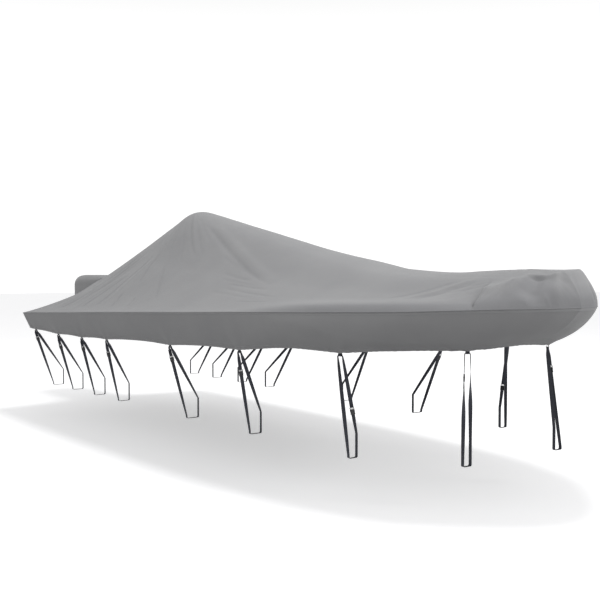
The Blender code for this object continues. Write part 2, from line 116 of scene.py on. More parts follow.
# Straps from the stern, with the distance of the buckle below the tab.  leg is 1 where the
# buckled leg goes outside the rail and -1 where it goes inside.
STRAP_COLUMNS = ("hem_x", "port_shift", "rail_x", "rail_y", "rail_wide", "buckle", "leg")
STRAPS = (
    (-1.364, 0.000, -1.500, 0.850, 0.100, 0.06, 1),
    (-0.874, 0.000, -1.030, 0.850, 0.100, 0.09, 1),
    (-0.374, 0.000, -0.540, 0.850, 0.100, 0.07, 1),
    (0.126, 0.000, -0.048, 0.850, 0.100, 0.10, 1),
    (1.226, 0.000, 1.147, 0.850, 0.100, 0.07, 1),
    (2.156, 0.000, 2.036, 0.850, 0.090, 0.13, 1),
    (3.066, -0.180, 3.120, 0.840, 0.060, 0.33, -1),
    (3.690, 0.000, 3.730, 0.460, 0.060, 0.12, 1),
)
RAIL_TOP = -1.555
RAIL_BOTTOM = -1.706
WEB_WIDTH = 0.025
WEB_THICK = 0.0015
BUNCH_WIDTH = 0.014     # the webbing gathered in its tab
BUNCH_THICK = 0.003
BUNCH_LIFT = 0.0005
BUNCH_SHARE = 0.10      # share of a leg over which it opens out again
TAB_CLEAR = 0.0015
RAIL_CLEAR = 0.003
CORNER_RADIUS = 0.010
TAB_BEND = 0.004
TAB_WIDTH = 0.025
TAB_THICK = 0.0018
EYE_HALF = 0.0085
EYE_FLOOR = -0.012
EYE_SHOULDER = -0.005
EYE_PEAK = 0.003
TAIL_TOP = 0.035
TAB_DROP = 0.008
TAB_INSET = 0.0046
BUCKLE_LONG = 0.046
BUCKLE_GAP = 0.0006

SIDES = ((-1, "s"), (1, "p"))

# ---------------------------------------------------------------- how the cloth lies

TOP_ROWS = 520          # rows of the top panel along the boat
TOP_HALF = 92           # columns of the top panel on each side of its centre line
SKIRT_STEP = 0.012      # spacing of the skirt's columns along the gunwale
SKIRT_DOWN = 20         # rows of the skirt between gunwale and hem
TRANSOM_COLUMNS = 75
GUNWALE_LONG = 6.1
HOOD_ROWS = 110         # rows of the hood, and its columns over the top, shoulder and wall
HOOD_FLAT = 16
HOOD_ROUND = 14
HOOD_WALL = 34
SHEET_THICK = 0.0012
MM = 0.001
WEAR_AND_SHADE_DEPTH = 0.008      # a fold this high has the whole of its pale wear, and one this deep the whole of its painted shade
EDGE_EASE = 0.035       # no crease moves the cloth closer than this to a seam
BOW_ROUND = 0.032       # how far the cloth bellies out above and below the gunwale at the bow
BOW_FROM = 2.00
BOW_FULL = 3.00
BOW_EASE = 0.45         # share of that roundness lost towards the very tip
BOW_EASE_FROM = 3.4
BOW_EASE_RUN = 0.6
TOP_SWELL = (0.08, 0.36)        # where the roundness peaks and ends, in metres from the seam
SKIRT_SWELL = (0.3, 1.0)        # the same as shares of the way down the skirt
SHADE_WIDE = 0.17       # how wide the painted shade is above the gunwale at the bow
SHADE_RUN = 1.2
SHADE_DEPTH = 4.0       # how much darker the painted shade makes the cloth there, on the wear-and-shade scale
SHADED_HOLLOW_AT = (4.06, -0.27)       # centre of the painted shade over the hollow on the bow's starboard side
SHADED_HOLLOW_WIDE = 0.15

# Folds of the top panel in millimetres, each through three points given as x and distance off the
# centre line, then its height outwards, below zero for a trough, and its half width.  The last
# column is -1 for starboard, 1 for port and 0 for both.
FOLDS = (
    # fine lines from the peak down the side
    (20, 100, 260, 280, 620, 455, -5.7, 8, 0),
    (34, 90, 270, 262, 640, 438, 3.8, 11, 0),
    (50, 220, 290, 385, 480, 520, -3, 8, -1),
    (250, 210, 520, 342, 780, 452, -3, 8, -1),
    (-20, 150, 90, 340, 250, 560, -2.7, 9, 0),
    (-50, 120, 0, 300, 80, 520, 3, 12, -1),
    (160, 120, 450, 245, 760, 340, -2.4, 9, 0),
    # the long diagonal trough forward of it, with the ridge above
    (330, 170, 1100, 385, 2030, 640, -7.5, 16, -1),
    (420, 140, 1160, 340, 2060, 590, 5, 30, -1),
    (500, 150, 1350, 410, 2200, 700, -7.5, 18, 1),
    (560, 120, 1380, 365, 2240, 650, 5, 32, 1),
    (960, 400, 1300, 470, 1620, 540, -3.7, 11, -1),
    # small slack wrinkles under the diagonal's lower end
    (1180, 545, 1450, 575, 1720, 600, -3.9, 10, 0),
    (1260, 610, 1560, 632, 1900, 655, -3.4, 9, 0),
    (1434, 662, 1750, 676, 2080, 690, -4.4, 10, 0),
    (1485, 715, 1900, 758, 2328, 795, -4.4, 11, 0),
    (1360, 770, 1700, 800, 2050, 835, -2.9, 10, -1),
    (1900, 895, 2130, 890, 2330, 877, -3.6, 10, 0),
    # down the after slope to the gunwale
    (-315, 367, -860, 640, -860, 1068, -11.4, 18, 0),
    (-230, 390, -760, 660, -740, 1068, 8.8, 24, 0),
    (-420, 330, -980, 560, -1180, 940, -7.9, 14, -1),
    (-65, 437, -220, 735, -173, 1082, -8.8, 14, 0),
    (0, 450, -110, 745, -60, 1070, 6.3, 20, 0),
    (30, 467, 61, 631, 267, 840, -5.6, 12, -1),
    (236, 538, 539, 767, 804, 940, -5.3, 13, 0),
    (-982, 500, -960, 820, -950, 1068, -10.5, 18, 0),
    (-1060, 500, -1070, 800, -1080, 1060, 8, 22, 0),
    (-294, 560, -500, 828, -420, 1060, -10.5, 15, 0),
    (-380, 540, -620, 830, -560, 1065, 8.4, 20, 0),
    (-560, 480, -740, 700, -800, 900, -7, 12, -1),
    (20, 820, 90, 940, 164, 1050, -7, 12, -1),
    (343, 880, 410, 960, 478, 1045, -5.3, 12, 0),
    (-1200, 330, -1250, 640, -1290, 1020, -8.8, 18, 0),
    # along the bow's side, from the support corner aft and outboard
    (3640, 240, 3517, 448, 3350, 700, 7, 18, -1),
    (3690, 265, 3570, 462, 3420, 720, -5.6, 24, -1),
    (3540, 300, 3400, 480, 3200, 700, -4, 14, -1),
    (3720, 280, 3690, 455, 3712, 640, -3, 36, -1),
    (3860, 270, 3850, 420, 3880, 560, -5, 16, -1),
    (3945, 160, 3915, 329, 3915, 505, 5, 14, -1),
    (3990, 80, 4030, 190, 4070, 330, -32, 56, -1),
    (3800, 400, 3900, 300, 3950, 180, 16, 50, -1),
    (3930, 80, 3945, 230, 3965, 400, 9, 20, -1),
    (4060, 20, 4110, 85, 4160, 190, 12, 24, -1),
    (3560, 330, 3460, 520, 3300, 780, 6, 18, 1),
    (3610, 350, 3510, 530, 3350, 780, -7, 18, 1),
    (3860, 330, 3800, 440, 3780, 600, 7, 18, 1),
    (3790, 330, 3720, 450, 3690, 620, -7, 20, 1),
    (4120, 180, 4150, 190, 4170, 195, -5, 18, 1),
)
FOLD_SAMPLES = 24
FOLD_SHIFT = 0.045      # how far a fold of both sides is moved to port, so that they differ

# Slack wrinkles that fan out from a place on the centre line or, with the last column, from the
# same place on both sides of it; then even unevenness by height, size and seed.
FANS = (
    (0.0012, 0.00, 0.00, 0.16, 1.9, 70, 3.1, False),
    (0.0009, 0.10, 0.00, 0.40, 1.9, 150, 8.7, False),
    (0.0020, 3.95, 0.16, 0.12, 1.1, 60, 5.3, True),
)
TOP_GRAIN = ((0.0030, 0.55, 11.0), (0.0010, 0.16, 23.0))
SKIRT_GRAIN = ((0.0025, 0.45, 1.0, 31.0), (0.0012, 0.10, 0.35, 37.0))  # with its upright stretch
HEM_CRUMPLE = (0.0011, 0.022, 0.2, 41.0)        # the same, growing towards the hem
HOOD_DENTS = (0.0035, 0.30, 53.0)
HOOD_FOLDS = (0.0012, 0.0064, 0.085, 0.18, 61.0)    # height above and at the hem, size and stretch
SHOULDER_DENTS = (0.0022, 0.05, 67.0)
SHOULDER_Z = -0.70
TAPE_ROWS = 60          # rows of the hood's corner tapes, and their distance off the cloth
TAPE_OFF = 0.0016
HEM_LIFT = 0.016        # rise of the hem midway between two tabs
HEM_PULL = 0.0026       # height of the pulls in the skirt above each tab

CLOTH_PALE = (0.300, 0.300, 0.303)
CLOTH_DARK = (0.222, 0.223, 0.230)
THREAD_GREY = (0.17, 0.17, 0.175)
WEB_NAVY = (0.006, 0.008, 0.016)
WEB_WORN = (0.020, 0.023, 0.038)
BUCKLE_BLACK = (0.012, 0.012, 0.014)
FLOOR_DARK = (0.86, 0.86, 0.865)
FLOOR_PALE = (0.90, 0.90, 0.905)
FLOOR_GLOW = 0.36
CLOTH_PITCH = 0.0011    # spacing of the cloth's yarns
WEB_RIB_PITCH = 0.0016
WEB_YARN_PITCH = 0.0021
WEB_TWILL_PITCH = 0.0030


def run_lengths(points):
    """Length run so far at each point of a line."""
    return np.concatenate([[0.0], np.cumsum(np.linalg.norm(np.diff(points, axis=0), axis=1))])


def at_places(values, places, wanted):
    """Rows of three values, known at rising places, taken at the wanted ones."""
    return np.column_stack([np.interp(wanted, places, values[:, k]) for k in range(3)])


def column(table, names, name):
    """One named column of a table, as an array."""
    return np.array([row[names.index(name)] for row in table], float)


def smooth(x, xs, ys):
    """Values at x of the monotone cubic through the points (xs, ys)."""
    x = np.asarray(x, float)
    step = np.diff(xs)
    slope = np.diff(ys) / step
    product = slope[:-1] * slope[1:]
    total = slope[:-1] + slope[1:]
    inner = np.where(product > 0, 2 * product / np.where(product > 0, total, 1.0), 0.0)
    tangent = np.concatenate([slope[:1], inner, slope[-1:]])
    i = np.clip(np.searchsorted(xs, x) - 1, 0, len(xs) - 2)
    t = (x - xs[i]) / step[i]
    start = (1 + 2 * t) * (1 - t) ** 2 * ys[i] + t * (1 - t) ** 2 * step[i] * tangent[i]
    end = t * t * (3 - 2 * t) * ys[i + 1] + t * t * (t - 1) * step[i] * tangent[i + 1]
    return start + end


def ease(t):
    t = np.clip(t, 0.0, 1.0)
    return t * t * (3 - 2 * t)


def unit(vector):
    return vector / np.linalg.norm(vector, axis=-1, keepdims=True)


def arc_positions(xs, ys):
    along = run_lengths(np.column_stack([xs, ys]))
    return along / along[-1]


RIDGE_X = column(RIDGE, RIDGE_COLUMNS, "x")
RIDGE_Z = column(RIDGE, RIDGE_COLUMNS, "z")
RIB_AT = arc_positions(column(RIBS, RIB_COLUMNS, "edge_x"), column(RIBS, RIB_COLUMNS, "edge_y"))
HOOD_AT = arc_positions(column(HOOD, HOOD_COLUMNS, "side_x"), column(HOOD, HOOD_COLUMNS, "side_y"))


def ribs_at(us):
    """The ribs at us along the gunwale, 0 at the stern corner and 1 at the bow tip."""
    return {name: smooth(us, RIB_AT, column(RIBS, RIB_COLUMNS, name)) for name in RIB_COLUMNS}


def rib_line(row, vs, side):
    """Points at shares vs of one rib, 0 on the centre line and 1 on the gunwale seam."""
    ridge = float(smooth(row["spine_x"], RIDGE_X, RIDGE_Z))
    length = math.hypot(row["edge_x"] - row["spine_x"], row["edge_y"])
    crest = row["crest_p"] if side > 0 else row["crest_s"]
    crest_z = ridge - (row["drop_p"] if side > 0 else row["drop_s"])
    shelf = 1 - SHELF_WIDTH / length
    if shelf > crest + SHORTEST_SLOPE:
        low, low_z = shelf, row["edge_z"] + SHELF_RISE
        tail, tail_z = (shelf, 1.0), (low_z, row["edge_z"])
    else:
        low, low_z = 1.0, row["edge_z"]
        tail, tail_z = (1.0,), (low_z,)
    middle = 0.5 * (crest + low)
    middle_z = 0.5 * (crest_z + low_z) - row["sag"]
    stations = np.array((-crest, 0.0, crest, middle, *tail))
    heights = np.array((crest_z, ridge, crest_z, middle_z, *tail_z))
    x = row["spine_x"] + vs * (row["edge_x"] - row["spine_x"])
    return np.stack([x, side * vs * row["edge_y"], smooth(vs, stations, heights)], axis=-1)


def top_rows(us, vs, side):
    ribs = ribs_at(us)
    rows = [{name: float(ribs[name][i]) for name in RIB_COLUMNS} for i in range(len(us))]
    return np.stack([rib_line(row, vs, side) for row in rows])


def skirt_curve(top, hem, out, belly, ws):
    """Points at shares ws down the skirt from top to hem, bowed out by belly."""
    fall = hem - top
    inward = np.sum(fall * out, axis=-1, keepdims=True)
    normal = -fall[..., 2:] * out
    normal[..., 2:] += inward
    normal = unit(normal)
    ws = np.asarray(ws)[None, :, None]
    bow = 4 * ws * (1 - ws) * np.asarray(belly).reshape(-1, 1, 1)
    return top[:, None] + ws * fall[:, None] + bow * normal[:, None]


def skirt_columns(us, ws, side):
    ribs = ribs_at(us)
    top = np.stack([ribs["edge_x"], side * ribs["edge_y"], ribs["edge_z"] - SEAM_DROP], axis=-1)
    hem = np.stack([ribs["hem_x"], side * ribs["hem_y"], ribs["hem_z"]], axis=-1)
    run = np.hypot(ribs["edge_x"] - ribs["spine_x"], ribs["edge_y"])
    out = np.stack([(ribs["edge_x"] - ribs["spine_x"]) / run, side * ribs["edge_y"] / run,
                    np.zeros(len(us))], axis=-1)
    return skirt_curve(top, hem, out, ribs["belly"], ws)


def transom_columns(ys, ws, side):
    row = {name: float(value[0]) for name, value in ribs_at(np.zeros(1)).items()}
    top = rib_line(row, ys / row["edge_y"], side) - (0, 0, SEAM_DROP)
    corner = (ys / row["edge_y"]) ** 4
    hem = np.stack([TRANSOM_HEM_X + corner * (row["hem_x"] - TRANSOM_HEM_X),
                    side * (ys + corner * (row["hem_y"] - row["edge_y"])),
                    TRANSOM_HEM_Z + corner * (row["hem_z"] - TRANSOM_HEM_Z)], axis=-1)
    out = np.tile((-1.0, 0.0, 0.0), (len(ys), 1))
    return skirt_curve(top, hem, out, np.full(len(ys), TRANSOM_BELLY), ws)


def crowded(count):
    """Positions of count + 1 ribs along the gunwale, closer together towards the bow."""
    return 1 - (1 - np.linspace(0.0, 1.0, count + 1)) ** (1 / CREST_BIAS)


def hood_line(t, side):
    """One rib of the motor hood, from its centre line out, round its shoulder and down its wall."""
    row = {name: float(smooth(t, HOOD_AT, column(HOOD, HOOD_COLUMNS, name))) for name in HOOD_COLUMNS}
    spine = np.array((row["spine_x"], 0.0))
    out = np.array((row["side_x"], side * row["side_y"])) - spine
    reach = float(np.hypot(*out))
    flat = 1 - row["corner"] / reach
    turn = 0.5 * math.pi * np.linspace(0, 1, HOOD_ROUND + 1)
    shares = np.concatenate([np.linspace(0, flat, HOOD_FLAT + 1)[:-1], flat + (1 - flat) * np.sin(turn)])
    falls = np.concatenate([np.zeros(HOOD_FLAT), row["corner"] * (1 - np.cos(turn))])
    stern = {name: float(value[0]) for name, value in ribs_at(np.zeros(1)).items()}
    blend = float(ease((HOOD[0][0] - row["side_x"]) / HOOD_BLEND))
    plan = spine + shares[:, None] * out
    seam = rib_line(stern, np.abs(plan[:, 1]) / stern["edge_y"], side)
    x = plan[:, 0] + (1 - blend) * (seam[:, 0] - SEAM_GAP - HOOD[0][0])
    z = seam[:, 2] + blend * (row["top_z"] - falls - seam[:, 2])
    over = np.stack([x, plan[:, 1], z], axis=-1)
    down = np.linspace(0, 1, HOOD_WALL + 1)[1:]
    foot = over[-1, :2] - (down ** 2 * HOOD_TUCK * blend)[:, None] * out / reach
    wall = np.column_stack([foot, over[-1, 2] + down * (HOOD_HEM_Z - over[-1, 2])])
    return np.concatenate([over, wall])


# ---------------------------------------------------------------- folds and wrinkles

def grain(points, scale, seed):
    """Smooth noise in -1 to 1 at each point, of that size in metres."""
    return np.array([noise.noise(Vector(p) / scale + Vector((seed, 0.37 * seed, 0.71 * seed)))
                     for p in points])


def curve_through(a, b, c, count):
    """Points on the parabola through a, b at its middle and c."""
    t = np.linspace(0, 1, count)[:, None]
    handle = 2 * b - 0.5 * (a + c)
    return (1 - t) ** 2 * a + 2 * t * (1 - t) * handle + t * t * c


def fold_heights(plan):
    """How far the folds move the cloth outwards at each (x, y) of plan."""
    moved = np.zeros(len(plan))
    for *sizes, sides in FOLDS:
        x0, y0, x1, y1, x2, y2, height, half = (MM * size for size in sizes)
        for side in (-1, 1):
            if sides not in (0, side):
                continue
            shift = FOLD_SHIFT if sides == 0 and side > 0 else 0.0
            line = curve_through(np.array((x0 + shift, side * y0)), np.array((x1 - shift, side * y1)),
                                 np.array((x2 + shift, side * y2)), FOLD_SAMPLES)
            near = np.all((plan > line.min(0) - 4 * half) & (plan < line.max(0) + 4 * half), axis=1)
            ways = np.diff(line, axis=0)
            spots = plan[near][:, None] - line[:-1]
            share = np.clip(np.sum(spots * ways, axis=2) / np.sum(ways * ways, axis=1), 0, 1)
            away = np.linalg.norm(spots - share[..., None] * ways, axis=2)
            best = np.argmin(away, axis=1)[:, None]
            away = np.take_along_axis(away, best, 1)[:, 0]
            place = (best + np.take_along_axis(share, best, 1))[:, 0] / (FOLD_SAMPLES - 1)
            taper = ease(place / 0.20) * ease((1 - place) / 0.30)
            moved[near] += height * taper * np.exp(-(away / half) ** 2)
    return moved


def fan(plan, centre, inner, outer, count, seed):
    """Wrinkles that run away from a centre, in -1 to 1, faded outside the ring inner to outer."""
    way = plan - centre
    reach = np.linalg.norm(way, axis=1)
    angle = np.arctan2(way[:, 1], way[:, 0])
    turned = np.column_stack([np.cos(angle) * count / 6, np.sin(angle) * count / 6, reach * 0.9])
    ring = ease((reach - inner) / inner) * ease((outer - reach) / (0.5 * outer))
    return ring * grain(turned, 1.0, seed)


def swell(place, peak, end):
    """Rises from 0 at place 0 to 1 at peak and eases back to 0 at end."""
    return np.where(place < peak, place / peak * (2 - place / peak), ease((end - place) / (end - peak)))


def bow_share(x):
    """How much of the bow's roundness there is at x."""
    lost = BOW_EASE * ease((x - BOW_EASE_FROM) / BOW_EASE_RUN)
    return ease((x - BOW_FROM) / (BOW_FULL - BOW_FROM)) * (1 - lost)


def top_displacement(points):
    """Outward move of each point of the top panel: folds, slack wrinkles and a slow unevenness."""
    plan = points[:, :2]
    folded_plan = np.column_stack([plan[:, 0], np.abs(plan[:, 1])])
    moved = fold_heights(plan)
    for height, x, y, inner, outer, count, seed, both in FANS:
        moved += height * fan(folded_plan if both else plan, np.array((x, y)), inner, outer, count, seed)
    for height, size, seed in TOP_GRAIN:
        moved += height * grain(points, size, seed)
    return moved


# ---------------------------------------------------------------- meshes

def grid_faces(index):
    """Quads of a grid of vertex indices."""
    corners = [index[:-1, :-1], index[:-1, 1:], index[1:, 1:], index[1:, :-1]]
    return np.stack(corners, axis=-1).reshape(-1, 4)


def new_mesh(name, points, faces, uvs=None):
    """A smooth mesh object.  uvs, in metres, has one pair for each point."""
    mesh = bpy.data.meshes.new(name)
    mesh.from_pydata(np.asarray(points, float).tolist(), [], [tuple(map(int, f)) for f in faces])
    if uvs is not None:
        layer = mesh.uv_layers.new(name="UVMap")
        corner = np.empty(len(mesh.loops), np.int32)
        mesh.loops.foreach_get("vertex_index", corner)
        layer.data.foreach_set("uv", np.asarray(uvs, np.float32)[corner].ravel())
    mesh.polygons.foreach_set("use_smooth", [True] * len(mesh.polygons))
    mesh.update()
    made = bpy.data.objects.new(name, mesh)
    bpy.context.scene.collection.objects.link(made)
    return made


def normals_of(points, faces):
    """Vertex normals of a mesh of quads."""
    corners = points[faces]
    across = np.cross(corners[:, 2] - corners[:, 0], corners[:, 3] - corners[:, 1])
    normals = np.zeros_like(points)
    for k in range(4):
        np.add.at(normals, faces[:, k], across)
    size = np.linalg.norm(normals, axis=1, keepdims=True)
    return normals / np.where(size > 0, size, 1)


def arc_lengths(grid, axis):
    """Running length along one axis of a grid of points."""
    steps = np.linalg.norm(np.diff(grid, axis=axis), axis=2)
    zero = np.zeros_like(np.take(steps, [0], axis=axis))
    return np.cumsum(np.concatenate([zero, steps], axis=axis), axis=axis)


def grid_uvs(grid):
    """Flat coordinates of a grid of cloth in metres, measured from its middle."""
    rows, columns = grid.shape[:2]
    down = arc_lengths(grid, 0)[:, columns // 2]
    over = arc_lengths(grid, 1)
    over = over - over[:, [columns // 2]]
    return np.stack([np.broadcast_to(down[:, None], over.shape), over], axis=-1).reshape(-1, 2)


def paint_wear_and_shade(made, amounts):
    """Stores how pale (above zero) or dark (below) the cloth is at each vertex, as wear and painted shade
    together.
    """
    layer = made.data.attributes.new("wear_and_shade", "FLOAT", "POINT")
    layer.data.foreach_set("value", np.asarray(amounts, np.float32))


def fold_wear_and_shade(moved):
    """Pale wear on the ridges of folds, and painted shade that darkens their troughs."""
    return np.clip(moved / WEAR_AND_SHADE_DEPTH, -1, 1)


def sheet(name, grid, index, displace):
    """A sheet through a grid of points whose vertices are numbered by index.  displace gives how far
    each point moves outwards, and its wear and painted shade.  Returns it with its moved grid and
    normals."""
    points = grid.reshape(-1, 3).copy()
    faces = grid_faces(index)
    normals = normals_of(points, faces)
    moved, wear_and_shade = displace(points)
    points += moved[:, None] * normals
    used, renumber = np.unique(faces, return_inverse=True)
    made = new_mesh(name, points[used], renumber.reshape(-1, 4), grid_uvs(grid)[used])
    paint_wear_and_shade(made, wear_and_shade[used])
    return made, points.reshape(grid.shape), normals.reshape(grid.shape)


def grid_index(grid):
    return np.arange(grid.shape[0] * grid.shape[1]).reshape(grid.shape[:2])


def top_sheet():
    """The top panel as one sheet, port gunwale to starboard gunwale in rows from the stern."""
    us = crowded(TOP_ROWS)
    vs = np.linspace(0.0, 1.0, TOP_HALF + 1)
    grid = np.concatenate([top_rows(us, vs, 1)[:, ::-1], top_rows(us, vs, -1)[:, 1:]], axis=1)
    index = grid_index(grid)
    index[-1, :TOP_HALF] = index[-1, ::-1][:TOP_HALF]
    over = arc_lengths(grid, 1)
    edge = np.minimum(over, over[:, [-1]] - over)
    along = np.minimum(arc_lengths(grid, 0), 1.0)
    free = (ease(edge / EDGE_EASE) * ease(along / EDGE_EASE)).reshape(-1)
    edge = edge.reshape(-1)

    def displace(points):
        moved = top_displacement(points) * free
        # Painted shade: the cloth's colour is darkened in a band along the gunwale towards the bow and
        # over the starboard bow's hollow, standing in for the shade that falls there.
        shade = ease((SHADE_WIDE - edge) / SHADE_WIDE) * ease((points[:, 0] - BOW_FROM) / SHADE_RUN)
        shade += np.exp(-(np.hypot(*(points[:, :2] - SHADED_HOLLOW_AT).T) / SHADED_HOLLOW_WIDE) ** 2)
        wear_and_shade = fold_wear_and_shade(moved) - SHADE_DEPTH * np.clip(shade, 0, 1)
        return moved + BOW_ROUND * bow_share(points[:, 0]) * swell(edge, *TOP_SWELL), wear_and_shade

    made, _, _ = sheet("cover_top", grid, index, displace)
    return made, grid


def tab_places(side):
    return sorted(row[0] + (row[1] if side > 0 else 0.0) for row in STRAPS)


def hem_rise(xs, side):
    """How far the hem lifts between its tabs at each x."""
    places = tab_places(side)
    rise = np.zeros(len(xs))
    for a, b in zip(places[:-1], places[1:]):
        between = (xs > a) & (xs < b)
        share = (xs[between] - a) / (b - a)
        rise[between] = HEM_LIFT * min(1.0, (b - a) / 0.9) * np.sin(math.pi * share) ** 0.8
    return rise


def skirt_grid():
    """The skirt from the hood's port side round the bow to its starboard side, gunwale to hem."""
    ws = np.linspace(0.0, 1.0, SKIRT_DOWN + 1)
    us = crowded(int(GUNWALE_LONG / SKIRT_STEP))
    hood_y = HOOD_SHARE * RIBS[0][1]
    ys = np.linspace(hood_y, RIBS[0][1], TRANSOM_COLUMNS)[:-1]
    blocks = [transom_columns(ys, ws, -1), skirt_columns(us, ws, -1),
              skirt_columns(us[:-1][::-1], ws, 1), transom_columns(ys[::-1], ws, 1)]
    grid = np.concatenate(blocks)
    side = np.concatenate([np.zeros(len(ys)), -np.ones(len(us)), np.ones(len(us) - 1), np.zeros(len(ys))])
    for sign in (-1, 1):
        chosen = side == sign
        lift = hem_rise(grid[chosen, -1, 0], sign)
        grid[chosen, :, 2] += lift[:, None] * ws[None, :] ** 2
    return grid, side, ws


def skirt_displacement(points, side, ws):
    """Outward move of the skirt: a slow unevenness, the pull of each tab and the bow's roundness."""
    w = np.tile(ws, len(side))
    moved = np.zeros(len(points))
    for height, size, stretch, seed in SKIRT_GRAIN:
        moved += height * grain(points * (1, 1, stretch), size, seed)
    sides = np.repeat(side, len(ws))
    for sign in (-1, 1):
        for place in tab_places(sign):
            lean = (points[:, 0] - place) / (0.05 + 0.30 * (1 - w))
            pull = np.exp(-(lean / 1.4) ** 2) * np.cos(5.5 * lean) * w ** 1.5
            moved += np.where(sides == sign, HEM_PULL * pull, 0.0)
    height, size, stretch, seed = HEM_CRUMPLE
    moved += height * w ** 4 * grain(points * (1, 1, stretch), size, seed)
    belly = swell(w, *SKIRT_SWELL)
    return moved * ease(w / 0.12) + 0.5 * BOW_ROUND * bow_share(points[:, 0]) * belly


def skirt_sheet():
    grid, side, ws = skirt_grid()

    def displace(points):
        moved = skirt_displacement(points, side, ws)
        return moved, fold_wear_and_shade(moved)

    made, points, normals = sheet("cover_skirt", grid, grid_index(grid), displace)
    return thicken(made), points, normals


def thicken(made):
    """Gives a sheet the cloth's thickness, inwards."""
    thick = made.modifiers.new("cloth", "SOLIDIFY")
    thick.thickness = SHEET_THICK
    thick.offset = -1
    return made


def hood_sheet():
    lines = []
    for t in np.linspace(0.0, 1.0, HOOD_ROWS + 1):
        port, starboard = hood_line(t, 1), hood_line(t, -1)
        lines.append(np.concatenate([port[::-1], starboard[1:]]))
    grid = np.stack(lines[::-1])
    index = grid_index(grid)
    half = grid.shape[1] // 2
    index[0, :half] = index[0, ::-1][:half]

    def displace(points):
        moved = hood_displacement(points)
        return moved * ease(np.abs(points[:, 0] - HOOD[0][0]) / 0.05), fold_wear_and_shade(moved)

    made, points, normals = sheet("cover_hood", grid, index, displace)
    return thicken(made), points, normals


def by_height(line, heights):
    """Points of a falling line at those heights."""
    rising = line[np.argsort(line[:, 2])]
    return at_places(rising, rising[:, 2], heights)


def hood_tape(name, side, skirt_columns_near, hood_rows_near):
    """The bound seam down the corner between the hood's wall and the transom's cloth."""
    high = min(skirt_columns_near[0][0, 2], hood_rows_near[0][0, 2]) - 0.001
    low = max(skirt_columns_near[0][-1, 2], hood_rows_near[0][-1, 2]) + 0.002
    heights = np.linspace(high, low, TAPE_ROWS)
    flat, edge = by_height(skirt_columns_near[1], heights), by_height(skirt_columns_near[0], heights)
    corner, wall = by_height(hood_rows_near[0], heights), by_height(hood_rows_near[1], heights)
    aft, out = np.array((-TAPE_OFF, 0.0, 0.0)), np.array((0.0, side * TAPE_OFF, 0.0))
    lines = [flat + aft, edge + aft, 0.5 * (edge + corner) + aft + out, corner + out, wall + out]
    grid = np.stack(lines if side > 0 else lines[::-1], axis=1)
    return thicken(new_mesh(name, grid.reshape(-1, 3), grid_faces(grid_index(grid)), grid_uvs(grid)))


def hood_displacement(points):
    """Soft dents on the hood's top and upright folds round its wall, deeper towards its hem."""
    down = ease((-0.66 - points[:, 2]) / 0.4)
    above, below, fold_size, stretch, fold_seed = HOOD_FOLDS
    height, size, seed = HOOD_DENTS
    upright = grain(points * (1, 1, stretch), fold_size, fold_seed)
    moved = height * grain(points, size, seed) + (above + (below - above) * down) * upright
    shoulder = np.exp(-((points[:, 2] - SHOULDER_Z) / 0.035) ** 2)
    height, size, seed = SHOULDER_DENTS
    return moved + height * shoulder * grain(points, size, seed)


# ---------------------------------------------------------------- swept pieces: seams, hems, webbing

def ring_sweep(name, centres, across, through, profile, closed=False):
    """A solid swept along centres.  profile holds (across, through) pairs, the same at each row
    or one list for each row."""
    centres = np.asarray(centres, float)
    profile = np.asarray(profile, float)
    if profile.ndim == 2:
        profile = np.broadcast_to(profile, (len(centres), *profile.shape))
    count = profile.shape[1]
    rings = centres[:, None] + profile[..., :1] * across[:, None] + profile[..., 1:] * through[:, None]
    rows = len(centres)
    index = np.arange(rows * count).reshape(rows, count)
    index = np.concatenate([index, index[:, :1]], axis=1)
    if closed:
        index = np.concatenate([index, index[:1]], axis=0)
    faces = [tuple(face) for face in grid_faces(index)]
    if not closed:
        faces.append(tuple(range(count)))
        faces.append(tuple(reversed(range((rows - 1) * count, rows * count))))
    around = np.broadcast_to(profile[..., 0], (rows, count))
    lengths = np.broadcast_to(run_lengths(centres)[:, None], around.shape)
    uvs = np.stack([around, lengths], axis=-1).reshape(-1, 2)
    made = new_mesh(name, rings.reshape(-1, 3), faces, uvs)
    face_outwards(made)
    return made


def face_outwards(made):
    """Turns the faces of a closed mesh outwards if its volume says they point in."""
    mesh = made.data
    mesh.calc_loop_triangles()
    points = np.empty(len(mesh.vertices) * 3, np.float32)
    mesh.vertices.foreach_get("co", points)
    points = points.reshape(-1, 3)
    triangles = np.empty(len(mesh.loop_triangles) * 3, np.int32)
    mesh.loop_triangles.foreach_get("vertices", triangles)
    corners = points[triangles.reshape(-1, 3)] - points.mean(0)
    if np.linalg.det(corners.astype(float)).sum() < 0:
        mesh.flip_normals()


def oval(half_wide, half_thick, count):
    turn = 2 * math.pi * np.arange(count) / count
    return np.column_stack([half_wide * np.cos(turn), half_thick * np.sin(turn)])


def webbing_profile(width, thick):
    """Section of flat webbing with round selvedges."""
    end = 0.5 * thick
    side = 0.5 * width - end
    turn = np.linspace(-0.5 * math.pi, 0.5 * math.pi, 5)
    right = np.column_stack([side + end * np.cos(turn), end * np.sin(turn)])
    return np.concatenate([right, [(0.0, end)], -right, [(0.0, -end)]])


def along_of(points, closed=False):
    """Unit directions along a line of points."""
    if closed:
        return unit(np.roll(points, -1, axis=0) - np.roll(points, 1, axis=0))
    way = np.empty_like(points)
    way[1:-1] = points[2:] - points[:-2]
    way[0] = points[1] - points[0]
    way[-1] = points[-1] - points[-2]
    return unit(way)


def across_to(along, facing):
    """facing made square to along."""
    return unit(facing - np.sum(facing * along, axis=1, keepdims=True) * along)


STITCH_PITCH = 0.0080
STITCH_LONG = 0.0056
STITCH_HALF = 0.00055   # half of the thread's width
STITCH_LIFT = 0.0006
GUNWALE_ROW = 0.0085    # distance of the stitches from the gunwale seam
HEM_ROWS = ((0.0215, 0.0013), (0.0115, 0.0016))     # height above the hem and distance off the cloth


